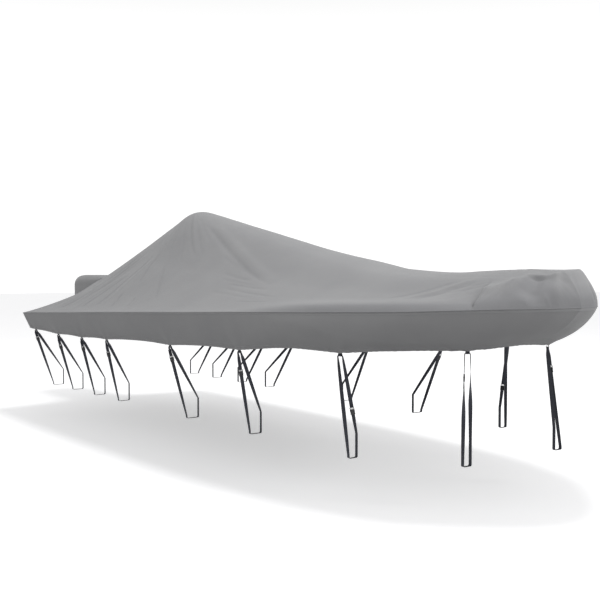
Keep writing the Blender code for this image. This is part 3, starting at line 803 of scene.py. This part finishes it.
def stitches(name, lines):
    """Rows of single stitches.  Each line is (points, outward directions)."""
    points, faces = [], []
    for spots, outs in lines:
        along = run_lengths(spots)
        steps = np.diff(along)
        places = np.arange(0.5 * STITCH_PITCH, along[-1] - 0.5 * STITCH_PITCH, STITCH_PITCH)
        i = np.clip(np.searchsorted(along, places) - 1, 0, len(steps) - 1)
        share = ((places - along[i]) / steps[i])[:, None]
        middles = spots[i] + share * (spots[i + 1] - spots[i])
        ways = (spots[i + 1] - spots[i]) / steps[i][:, None]
        ups = unit(outs[i])
        wides = unit(np.cross(ways, ups))
        sizes = STITCH_LONG * ways, STITCH_HALF * ups, STITCH_HALF * wides
        for middle, way, up, wide in zip(middles, *sizes):
            a = len(points)
            for end in (-0.28, 0.28):
                inner = middle + end * way
                points += [inner + wide, inner + 1.1 * up, inner - wide]
            points += [middle - 0.5 * way - 0.4 * up, middle + 0.5 * way - 0.4 * up]
            faces += [(a, a + 3, a + 4, a + 1), (a + 1, a + 4, a + 5, a + 2), (a + 2, a + 5, a + 3, a),
                      (a + 6, a + 1, a + 2), (a + 6, a, a + 1), (a + 6, a + 2, a),
                      (a + 7, a + 5, a + 4), (a + 7, a + 4, a + 3), (a + 7, a + 3, a + 5)]
    return new_mesh(name, np.array(points), faces)


PIPING_STEP = 0.011
PIPING_OVAL = (0.0030, 0.0026, 8)


def seam_bead(top_grid):
    """The piped seam all round, where the top panel meets the skirt and the hood."""
    line = np.concatenate([top_grid[:, -1], top_grid[-2::-1, 0], top_grid[0, 1:-1]])
    line = resample(line - (0, 0, 0.5 * SEAM_DROP), PIPING_STEP, closed=True)
    along = along_of(line, closed=True)
    up = across_to(along, np.tile((0.0, 0.0, 1.0), (len(line), 1)))
    out = unit(np.cross(along, up))
    made = ring_sweep("gunwale_piping", line, up, out, oval(*PIPING_OVAL), closed=True)
    # Painted shade: the piping's colour is darkened towards the bow, like the painted shade on the cloth
    # beside it.
    paint_wear_and_shade(made, [-SHADE_DEPTH * ease((v.co.x - BOW_FROM) / SHADE_RUN) for v in made.data.vertices])
    return made


def resample(line, step, closed=False):
    """The line again with even spacing near step."""
    if closed:
        line = np.concatenate([line, line[:1]])
    lengths = run_lengths(line)
    count = max(2, int(round(lengths[-1] / step)))
    wanted = np.linspace(0, lengths[-1], count + 1)
    spots = at_places(line, lengths, wanted)
    return spots[:-1] if closed else spots


# Section of a hem as (outwards, upwards): the round cord's casing below, its turned cloth above.
HEM_SECTION = ((0.0034, -0.0010), (0.0042, 0.0022), (0.0034, 0.0052), (0.0014, 0.0085), (0.0010, 0.0180),
               (0.0008, 0.0260), (-0.0018, 0.0262), (-0.0022, 0.0180), (-0.0030, 0.0085),
               (-0.0048, 0.0052), (-0.0056, 0.0022), (-0.0048, -0.0010), (-0.0008, -0.0030))
HEM_CORD_TOP = 0.008
HEM_GATHER = 0.16


def hem_band(name, grid, normals):
    """The folded hem with its cord, round the lower edge of a sheet whose columns run down."""
    line = grid[:, -1]
    up = unit(grid[:, -2] - grid[:, -1])
    out = normals[:, -1]
    out = unit(out - np.sum(out * up, axis=1, keepdims=True) * up)
    lengths = run_lengths(line)
    gather = 1 + HEM_GATHER * np.sin(lengths / 0.0062 + 2.2 * np.sin(lengths / 0.11))
    section = np.array(HEM_SECTION)
    shapes = np.repeat(section[None], len(line), axis=0)
    shapes[..., 0] *= np.where(section[None, :, 1] < HEM_CORD_TOP, gather[:, None], 1.0)
    return ring_sweep(name, line, out, up, shapes)


# ---------------------------------------------------------------- tie-down straps

LEG_ROWS = 40           # rows of a strap's leg below its buckle
WHOLE_LEG_ROWS = 50
SHORT_LEG_ROWS = 10
RUN_ROWS = 8
TURN_ROWS = 7


def hem_frame(hem_x, side):
    """Place on the hem where a tab is sewn: the point, the way along and the way out."""
    hems = skirt_columns(crowded(FRAME_RIBS), (1.0,), side)[:, 0]
    i = int(np.searchsorted(hems[:, 0], hem_x)) - 1
    share = (hem_x - hems[i, 0]) / (hems[i + 1, 0] - hems[i, 0])
    point = hems[i] + share * (hems[i + 1] - hems[i])
    along = unit((hems[i + 1] - hems[i]) * (1, 1, 0))
    return point, along, np.array((side * -along[1], side * along[0], 0.0))


def tab_loop(name, hem_x, side):
    """A loop of webbing sewn inside the hem, round the eye for its strap."""
    point, along, out = hem_frame(hem_x, side)
    centre = point - TAB_INSET * out - (0, 0, TAB_DROP)
    near = 0.5 * TAB_THICK
    half = EYE_HALF + near
    floor = EYE_FLOOR - near
    bend = 0.0042
    right = [(near, TAIL_TOP), (near, 0.020), (near + 0.0003, EYE_PEAK + 0.004), (0.5 * half, -0.0005),
             (half - 0.0012, EYE_SHOULDER + 0.0006), (half, EYE_SHOULDER - 0.002)]
    turn = np.linspace(0, 0.5 * math.pi, 6)
    right += [(half - bend + bend * math.cos(t), floor + bend - bend * math.sin(t)) for t in turn]
    path = np.array(right + [(-a, b) for a, b in reversed(right)])
    line = centre + path[:, :1] * out + path[:, 1:] * np.array((0, 0, 1.0))
    line = resample(line, 0.0016)
    across = np.tile(along, (len(line), 1))
    through = np.cross(along_of(line), across)
    return ring_sweep(name, line, across, through, webbing_profile(TAB_WIDTH, TAB_THICK * 0.92))


def strap_rows(placed, side):
    """Rows (point, width direction, width, thickness) of a strap, from one end of its buckle round
    the rail and through its tab to the other end."""
    shift = placed["port_shift"] if side > 0 else 0.0
    rail_x, rail_y, leg = placed["rail_x"] + shift, placed["rail_y"], placed["leg"]
    point, along, out = hem_frame(placed["hem_x"] + shift, side)
    over = point - TAB_INSET * out + (0, 0, EYE_FLOOR + 0.5 * BUNCH_THICK + BUNCH_LIFT - TAB_DROP)
    half_pass = 0.5 * TAB_WIDTH + TAB_BEND + TAB_CLEAR
    outer_y = rail_y + RAIL_CLEAR
    inner_y = rail_y - placed["rail_wide"] - RAIL_CLEAR
    near_y, far_y = (outer_y, inner_y) if leg > 0 else (inner_y, outer_y)
    turn = math.copysign(CORNER_RADIUS, far_y - near_y)
    across = np.array((1.0, 0.0, 0.0))
    near_tab, far_tab = over - leg * half_pass * along, over + leg * half_pass * along
    outer_end = np.array((rail_x, side * outer_y, RAIL_BOTTOM + 2 * CORNER_RADIUS))
    inner_end = np.array((rail_x, side * inner_y, RAIL_TOP))
    near_top, far_top = (outer_end, inner_end) if leg > 0 else (inner_end, outer_end)

    def leg_row(tab_end, rail_end, share):
        start = tab_end - (0, 0, TAB_BEND)
        turned = 0.5 * math.pi * share
        facing = math.cos(turned) * out + side * math.sin(turned) * across
        open_share = float(ease(share / BUNCH_SHARE))
        width = BUNCH_WIDTH + open_share * (WEB_WIDTH - BUNCH_WIDTH)
        thick = BUNCH_THICK + open_share * (WEB_THICK - BUNCH_THICK)
        return start + share * (rail_end - start), facing, width, thick

    def rail_row(y, z):
        return np.array((rail_x, side * y, z)), across, WEB_WIDTH, WEB_THICK

    length = float(np.linalg.norm(near_top - near_tab))
    top_share = placed["buckle"] / length
    low_share = (placed["buckle"] + BUCKLE_LONG + 2 * BUCKLE_GAP) / length
    rows = [leg_row(near_tab, near_top, share) for share in np.linspace(low_share, 1.0, LEG_ROWS)]
    rise = np.linspace(RAIL_TOP, RAIL_BOTTOM + CORNER_RADIUS, RUN_ROWS)[1:-1]
    if leg < 0:
        rows += [rail_row(near_y, z) for z in rise]
    bends = [(1 - math.cos(t), 1 - math.sin(t)) for t in np.linspace(0, 0.5 * math.pi, TURN_ROWS)]
    corner = [(near_y + turn * a, RAIL_BOTTOM + CORNER_RADIUS * b) for a, b in bends]
    corner += [(y, RAIL_BOTTOM) for y in np.linspace(near_y + turn, far_y - turn, RUN_ROWS)[1:-1]]
    corner += [(far_y - turn * a, RAIL_BOTTOM + CORNER_RADIUS * b) for a, b in reversed(bends)]
    rows += [rail_row(y, z) for y, z in corner]
    if leg > 0:
        rows += [rail_row(far_y, z) for z in reversed(rise)]
    rows += [leg_row(far_tab, far_top, share) for share in np.linspace(1.0, 0.0, WHOLE_LEG_ROWS)]
    onward = leg * TAB_BEND * along
    start, end = far_tab - onward, near_tab + onward
    through_tab = [far_tab - a * onward - (0, 0, TAB_BEND * b) for a, b in bends[1:]]
    through_tab += [start + share * (end - start) for share in np.linspace(0.0, 1.0, RUN_ROWS)[1:-1]]
    through_tab += [near_tab + a * onward - (0, 0, TAB_BEND * b) for a, b in reversed(bends[1:])]
    rows += [(centre, out, BUNCH_WIDTH, BUNCH_THICK) for centre in through_tab]
    rows += [leg_row(near_tab, near_top, share) for share in np.linspace(0.0, top_share, SHORT_LEG_ROWS)]
    return rows


def web_frames(rows):
    """Centres and the across and through directions of a strap's rows."""
    centres = np.array([row[0] for row in rows])
    along = along_of(centres)
    facing = np.array([row[1] for row in rows])
    for i in range(len(rows)):
        square = facing[i] - (facing[i] @ along[i]) * along[i]
        if i and square @ facing[i - 1] < 0:
            square = -square
        facing[i] = square / np.linalg.norm(square)
    return centres, facing, np.cross(along, facing)


def web_piece(name, rows):
    centres, across, through = web_frames(rows)
    shapes = np.stack([webbing_profile(row[2], row[3]) for row in rows])
    return ring_sweep(name, centres, across, through, shapes)


SEWN_LONG = 0.042       # webbing's sewn end, turned back through the buckle
TAIL_LONG = 0.055       # its free tail past the ladder, and how far that stands off at its tip
TAIL_STANDS_OFF = 0.003
TAIL_CLEAR = 0.008
LAYER_OFF = 0.0019


def web_layer(name, rows, length, offset, lift=0.0):
    """A second layer of webbing along the first rows, set off to one side, as a turned-back end."""
    centres, across, through = web_frames(rows)
    lengths = run_lengths(centres)
    wanted = np.linspace(0.0, length, 16)
    wide = unit(at_places(across, lengths, wanted))
    deep = unit(at_places(through, lengths, wanted))
    away = offset + lift * (wanted / length) ** 2
    spots = at_places(centres, lengths, wanted) + away[:, None] * deep
    return ring_sweep(name, spots, wide, deep, webbing_profile(WEB_WIDTH, WEB_THICK * 0.95))


# ---------------------------------------------------------------- buckle

# Plates of a side-release buckle of 46 by 34 by 9 mm: two heights, whether one plate spans both
# sides of its centre line, and the outline of the half above it.  x runs from the clip's end to
# the socket's end.
BUCKLE_SKIN = ((0.0085, 0.0145), (0.0060, 0.0158), (0.0010, 0.0160), (-0.0010, 0.0150),
               (-0.0030, 0.0118), (-0.0060, 0.0104), (-0.0095, 0.0104), (-0.0125, 0.0120),
               (-0.0145, 0.0150), (-0.0170, 0.0158), (-0.0225, 0.0150), (-0.0230, 0.0130))
BUCKLE_PLATES = (
    (0.0026, 0.0045, True, BUCKLE_SKIN),
    (-0.0045, -0.0026, True, BUCKLE_SKIN),
    # side walls and posts of the socket
    (-0.0030, 0.0030, False, ((0.0080, 0.0112), (0.0080, 0.0145), (0.0005, 0.0148), (0.0005, 0.0118))),
    (-0.0030, 0.0030, False, ((-0.0150, 0.0118), (-0.0150, 0.0152), (-0.0225, 0.0148),
                              (-0.0225, 0.0118))),
    # prongs that are squeezed, and the guide between them
    (-0.0022, 0.0022, False, ((0.0100, 0.0080), (0.0100, 0.0108), (0.0030, 0.0104),
                              (-0.0015, 0.0132), (-0.0045, 0.0166), (-0.0085, 0.0169),
                              (-0.0115, 0.0150), (-0.0130, 0.0120), (-0.0110, 0.0100),
                              (-0.0050, 0.0118), (0.0020, 0.0085))),
    (-0.0020, 0.0020, True, ((0.0100, 0.0016), (-0.0120, 0.0012))),
    # the ladder end: its base, rails and bars, and the socket's one bar
    (-0.0036, 0.0036, True, ((0.0122, 0.0135), (0.0118, 0.0150), (0.0092, 0.0150), (0.0088, 0.0135))),
    (-0.0030, 0.0030, False, ((0.0230, 0.0133), (0.0225, 0.0158), (0.0120, 0.0158),
                              (0.0120, 0.0133))),
    (-0.0026, 0.0014, True, ((0.0180, 0.0140), (0.0156, 0.0140))),
    (-0.0026, 0.0014, True, ((0.0230, 0.0140), (0.0206, 0.0140))),
    (-0.0030, 0.0022, True, ((-0.0205, 0.0130), (-0.0228, 0.0130))),
)
BUCKLE_EDGE = 0.0005


def plate(corners, low, high, first):
    """Vertices and faces of a plate with that outline, its vertices numbered from first."""
    count = len(corners)
    points = [(x, y, z) for z in (low, high) for x, y in corners]
    low_face, high_face = range(first, first + count), range(first + count, first + 2 * count)
    faces = [tuple(reversed(low_face)), tuple(high_face)]
    faces += [(low_face[i - 1], low_face[i], high_face[i], high_face[i - 1]) for i in range(count)]
    return points, faces


def buckle_mesh():
    points, faces = [], []
    for low, high, spans, half in BUCKLE_PLATES:
        other = [(x, -y) for x, y in reversed(half)]
        for outline in ((*half, *other),) if spans else (half, other):
            spots, sides = plate(outline, low, high, len(points))
            points += spots
            faces += sides
    mesh = bpy.data.meshes.new("buckle_shape")
    mesh.from_pydata(points, [], faces)
    mesh.update()
    return mesh


def buckle_piece(name, mesh, rows):
    """A buckle between the two ends of its strap."""
    _, across, _ = web_frames(rows)
    low, high = rows[0][0], rows[-1][0]
    along = unit(high - low)
    wide = unit(across[0] - (across[0] @ along) * along)
    deep = np.cross(along, wide)
    made = bpy.data.objects.new(name, mesh)
    bpy.context.scene.collection.objects.link(made)
    made.matrix_world = Matrix([[along[k], wide[k], deep[k], 0.5 * (low + high)[k]] for k in range(3)]
                               + [[0, 0, 0, 1]])
    round_off = made.modifiers.new("edges", "BEVEL")
    round_off.width = BUCKLE_EDGE
    round_off.segments = 2
    round_off.limit_method = "ANGLE"
    return made


# ---------------------------------------------------------------- materials

class Nodes:
    """Short calls for building one material's nodes."""

    def __init__(self, name):
        self.material = bpy.data.materials.new(name)
        self.material.use_nodes = True
        self.tree = self.material.node_tree
        self.shader = self.tree.nodes["Principled BSDF"]

    def add(self, kind, **settings):
        made = self.tree.nodes.new(kind)
        for key, value in settings.items():
            setattr(made, key, value)
        return made

    def link(self, source, target):
        self.tree.links.new(source, target)

    def noise(self, vector, scale, detail=3.0, roughness=0.55):
        made = self.add("ShaderNodeTexNoise")
        made.inputs["Scale"].default_value = scale
        made.inputs["Detail"].default_value = detail
        made.inputs["Roughness"].default_value = roughness
        self.link(vector, made.inputs["Vector"])
        return made.outputs["Fac"]

    def wave(self, vector, pitch, direction, distortion=0.0):
        """Ridges of that pitch in metres."""
        made = self.add("ShaderNodeTexWave", wave_type="BANDS", bands_direction=direction,
                        wave_profile="SIN")
        made.inputs["Scale"].default_value = 2 * math.pi / 20 / pitch
        made.inputs["Distortion"].default_value = distortion
        self.link(vector, made.inputs["Vector"])
        return made.outputs["Fac"]

    def math(self, operation, first, second=None):
        made = self.add("ShaderNodeMath", operation=operation)
        for socket, value in zip(made.inputs, (first, second)):
            if value is None:
                continue
            if isinstance(value, (int, float)):
                socket.default_value = value
            else:
                self.link(value, socket)
        return made.outputs[0]

    def ramp(self, value, low, high, start, end):
        """Colours from start to end as value goes from low to high."""
        made = self.add("ShaderNodeMapRange", data_type="FLOAT_VECTOR")
        self.link(value, made.inputs["Vector"])
        made.inputs[7].default_value = (low,) * 3
        made.inputs[8].default_value = (high,) * 3
        made.inputs[9].default_value = start
        made.inputs[10].default_value = end
        return made.outputs["Vector"]

    def between(self, value, low, high, start, end):
        """A number from start to end as value goes from low to high."""
        made = self.add("ShaderNodeMapRange")
        self.link(value, made.inputs["Value"])
        for name, number in (("From Min", low), ("From Max", high), ("To Min", start), ("To Max", end)):
            made.inputs[name].default_value = number
        return made.outputs["Result"]

    def weighted(self, *parts):
        """The sum of some values, each times its weight."""
        total = None
        for value, weight in parts:
            part = self.math("MULTIPLY", value, weight)
            total = part if total is None else self.math("ADD", total, part)
        return total

    def place(self):
        return self.add("ShaderNodeTexCoord").outputs["Object"]

    def flat(self):
        """The piece's flat coordinates in metres."""
        return self.add("ShaderNodeTexCoord").outputs["UV"]

    def paint(self, colour, roughness, normal=None, **settings):
        """Links or sets the shader's colour, roughness, normal and other inputs."""
        self.link(colour, self.shader.inputs["Base Color"])
        if isinstance(roughness, float):
            self.shader.inputs["Roughness"].default_value = roughness
        else:
            self.link(roughness, self.shader.inputs["Roughness"])
        if normal is not None:
            self.link(normal, self.shader.inputs["Normal"])
        for name, value in settings.items():
            self.shader.inputs[name.replace("_", " ")].default_value = value
        return self.material

    def bump(self, height, distance, strength, before=None):
        made = self.add("ShaderNodeBump")
        made.inputs["Distance"].default_value = distance
        made.inputs["Strength"].default_value = strength
        self.link(height, made.inputs["Height"])
        if before is not None:
            self.link(before, made.inputs["Normal"])
        return made.outputs["Normal"]


def scaled(colour, factor):
    return tuple(factor * c for c in colour)


def cloth_material():
    """Coated woven polyester: a plain weave, slow changes of tone, paler worn ridges, and painted shade
    in fold troughs and along the bow's gunwale.
    """
    n = Nodes("cloth_finish")
    uv, place = n.flat(), n.place()
    broad = n.noise(place, 2.2, 3.0)
    blotch = n.noise(place, 14.0, 4.0, 0.6)
    fleck = n.noise(place, 420.0, 2.0, 0.7)
    crumple = n.noise(place, 26.0, 4.0, 0.5)
    # this attribute holds pale wear on fold ridges and painted shade in fold troughs, along the bow's
    # gunwale and over its starboard hollow
    wear_and_shade = n.add("ShaderNodeAttribute", attribute_name="wear_and_shade", attribute_type="GEOMETRY").outputs["Fac"]
    weave = n.math("MAXIMUM", n.wave(uv, CLOTH_PITCH, "X", 0.4), n.wave(uv, CLOTH_PITCH, "Y", 0.4))
    shade = n.weighted((broad, 0.42), (blotch, 0.22), (fleck, 0.22), (wear_and_shade, 0.10), (weave, 0.14))
    fine = n.bump(weave, 0.00025, 0.8)
    return n.paint(n.ramp(shade, 0.22, 0.82, CLOTH_DARK, CLOTH_PALE),
                   n.between(blotch, 0.3, 0.7, 0.76, 0.88), n.bump(crumple, 0.0016, 0.55, fine),
                   Specular_IOR_Level=0.28, Sheen_Weight=0.12, Sheen_Roughness=0.5)


def thread_material():
    """Twisted sewing thread."""
    n = Nodes("thread_finish")
    twist = n.noise(n.place(), 900.0, 2.0)
    return n.paint(n.ramp(twist, 0.3, 0.7, scaled(THREAD_GREY, 0.8), scaled(THREAD_GREY, 1.25)), 0.6)


def webbing_material():
    """Narrow woven webbing: ribs across, a herringbone of yarns along, paler where it rubs."""
    n = Nodes("webbing_finish")
    uv = n.flat()
    ribs = n.wave(uv, WEB_RIB_PITCH, "Y", 0.6)
    yarns = n.wave(uv, WEB_YARN_PITCH, "X", 0.6)
    twill = n.wave(uv, WEB_TWILL_PITCH, "DIAGONAL", 0.3)
    weave = n.math("MULTIPLY", n.math("ADD", ribs, n.math("MULTIPLY", twill, 0.6)), yarns)
    rub = n.noise(n.place(), 38.0, 4.0, 0.65)
    shade = n.weighted((rub, 0.7), (weave, 0.3))
    return n.paint(n.ramp(shade, 0.28, 0.85, WEB_NAVY, WEB_WORN), n.between(rub, 0.3, 0.7, 0.50, 0.68),
                   n.bump(weave, 0.0004, 0.9), Sheen_Weight=0.06)


def buckle_material():
    """Moulded nylon: satin, with a faint moulding grain and rubbed edges."""
    n = Nodes("buckle_finish")
    place = n.place()
    rubbed = n.noise(place, 160.0, 4.0, 0.7)
    return n.paint(n.ramp(rubbed, 0.35, 0.8, BUCKLE_BLACK, scaled(BUCKLE_BLACK, 2.6)),
                   n.between(rubbed, 0.3, 0.7, 0.26, 0.42),
                   n.bump(n.noise(place, 1800.0, 2.0), 0.00006, 0.5))


def floor_material():
    """A pale studio floor that shines a little itself, so that its far edge fades away."""
    n = Nodes("floor_finish")
    mottle = n.noise(n.place(), 1.3, 3.0)
    return n.paint(n.ramp(mottle, 0.2, 0.8, FLOOR_DARK, FLOOR_PALE), 0.9,
                   Emission_Color=(1.0, 1.0, 1.0, 1.0), Emission_Strength=FLOOR_GLOW)


def finish_piece(made, material, nodes=()):
    """Gives a piece its material and body, and hides the frame nodes that it stands for."""
    made.data.materials.clear()
    made.data.materials.append(material)
    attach(made, "root")
    if nodes:
        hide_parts(*nodes)


cloth = cloth_material()
thread = thread_material()
webbing = webbing_material()
nylon = buckle_material()

top, top_grid = top_sheet()
skirt, skirt_points, skirt_normals = skirt_sheet()
hood, hood_points, hood_normals = hood_sheet()
piping = seam_bead(top_grid)
skirt_hem = hem_band("skirt_hem", skirt_points, skirt_normals)
hood_rim_normals = np.concatenate([hood_normals[::-1, -1:], hood_normals[1:, :1]])
hood_rim_columns = np.concatenate([hood_points[::-1, -2:], hood_points[1:, 1::-1]])
hood_hem = hem_band("hood_hem", hood_rim_columns, hood_rim_normals)

# each tape joins the skirt's first two columns to the hood's wall at its open end
wall = HOOD_WALL + 1
tapes = [hood_tape("hood_tape_s", -1, (skirt_points[0], skirt_points[2]),
                   (hood_points[-1, -wall:], hood_points[-4, -wall:])),
         hood_tape("hood_tape_p", 1, (skirt_points[-1], skirt_points[-3]),
                   (hood_points[-1, :wall][::-1], hood_points[-4, :wall][::-1]))]

finish_piece(top, cloth, ("top_panel",))
finish_piece(skirt, cloth, ("side_skirt",))
finish_piece(hood, cloth, ("motor_hood",))
for piece in (piping, skirt_hem, hood_hem, *tapes):
    finish_piece(piece, cloth)

up = np.tile((0.0, 0.0, 1.0), (len(top_grid), 1))
above_seam = [(top_grid[:, edge] + GUNWALE_ROW * unit(top_grid[:, inner] - top_grid[:, edge])
               + (0, 0, STITCH_LIFT), up) for edge, inner in ((-1, -2), (0, 1))]
below_seam = (skirt_points[:, 1] + 0.0005 * skirt_normals[:, 1], skirt_normals[:, 1])
gunwale_stitches = stitches("gunwale_stitches", [*above_seam, below_seam])
hem_out = skirt_normals[:, -3]
hem_up = unit(skirt_points[:, -2] - skirt_points[:, -1])
hem_stitches = stitches("hem_stitches", [(skirt_points[:, -1] + rise * hem_up + out * hem_out, hem_out)
                                         for rise, out in HEM_ROWS])
for piece in (gunwale_stitches, hem_stitches):
    finish_piece(piece, thread)

buckle_shape = buckle_mesh()
for side, mark in SIDES:
    for number, values in enumerate(STRAPS, 1):
        placed = dict(zip(STRAP_COLUMNS, values))
        shift = placed["port_shift"] if side > 0 else 0.0
        key = f"{mark}{number}"
        rows = strap_rows(placed, side)
        tail_long = min(TAIL_LONG, placed["buckle"] - TAIL_CLEAR)
        finish_piece(tab_loop(f"loop_{key}", placed["hem_x"] + shift, side), webbing,
                     (f"tab_{key}",))
        finish_piece(web_piece(f"web_{key}", rows), webbing, (f"strap_{key}",))
        finish_piece(web_layer(f"web_end_{key}", rows, SEWN_LONG, LAYER_OFF), webbing)
        finish_piece(web_layer(f"web_tail_{key}", rows[::-1], tail_long, -LAYER_OFF, TAIL_STANDS_OFF),
                     webbing)
        finish_piece(buckle_piece(f"clip_{key}", buckle_shape, rows), nylon,
                     (f"buckle_{key}",))

# ---------------------------------------------------------------- floor, light and camera

FLOOR_Z = -1.955
FLOOR_HALF = 40
SKY_FOOT = (0.30, 0.30, 0.31, 1)
SKY_TOP = (0.56, 0.56, 0.57, 1)
SKY_LEVELS = ((0.30, 0.34), (0.45, 1.12), (0.60, 1.12), (0.72, 0.56))   # place from nadir to zenith
LENS = 57
CAMERA_AT = (7.647, -4.654, -0.495)
CAMERA_WAY = Vector((-0.797, 0.604, 0.0)).normalized()
CAMERA_PITCH = math.radians(2.11)

floor = new_mesh("floor", [(x * FLOOR_HALF, y * FLOOR_HALF, FLOOR_Z)
                           for x, y in ((-1, -1), (1, -1), (1, 1), (-1, 1))], [(0, 1, 2, 3)])
floor.data.materials.append(floor_material())
floor.visible_diffuse = False

world = bpy.data.worlds.new("studio")
bpy.context.scene.world = world
world.use_nodes = True
tree = world.node_tree
split = tree.nodes.new("ShaderNodeSeparateXYZ")
height = tree.nodes.new("ShaderNodeMapRange")
height.inputs["From Min"].default_value = -1.0
sky = tree.nodes.new("ShaderNodeValToRGB")
sky.color_ramp.elements[0].color = SKY_FOOT
sky.color_ramp.elements[1].color = SKY_TOP
for position, level in SKY_LEVELS:
    sky.color_ramp.elements.new(position).color = (level, level, level, 1)
tree.links.new(tree.nodes.new("ShaderNodeTexCoord").outputs["Generated"], split.inputs[0])
tree.links.new(split.outputs["Z"], height.inputs["Value"])
tree.links.new(height.outputs["Result"], sky.inputs["Fac"])
tree.links.new(sky.outputs["Color"], tree.nodes["Background"].inputs["Color"])


def soft_light(name, place, target, size, watts):
    """A round lamp that looks at its target."""
    data = bpy.data.lights.new(name, "AREA")
    data.shape = "DISK"
    data.size = size
    data.energy = watts
    made = bpy.data.objects.new(name, data)
    bpy.context.scene.collection.objects.link(made)
    made.location = place
    made.rotation_mode = "QUATERNION"
    made.rotation_quaternion = (Vector(target) - Vector(place)).to_track_quat("-Z", "Y")


soft_light("overhead", (2.4, 1.5, 9.0), (1.6, 0.0, -0.8), 3.0, 560)
soft_light("bow_fill", (9.5, 4.0, 2.6), (4.1, 0.0, -0.7), 2.0, 170)

camera_data = bpy.data.cameras.new("camera")
camera_data.sensor_width = 36
camera_data.lens = LENS
camera_data.clip_end = 200
camera = bpy.data.objects.new("camera", camera_data)
bpy.context.scene.collection.objects.link(camera)
camera.location = CAMERA_AT
camera.rotation_mode = "QUATERNION"
aim = CAMERA_WAY * math.cos(CAMERA_PITCH) - Vector((0, 0, math.sin(CAMERA_PITCH)))
camera.rotation_quaternion = aim.to_track_quat("-Z", "Y")
bpy.context.scene.camera = camera
bpy.context.scene.view_settings.view_transform = "Standard"
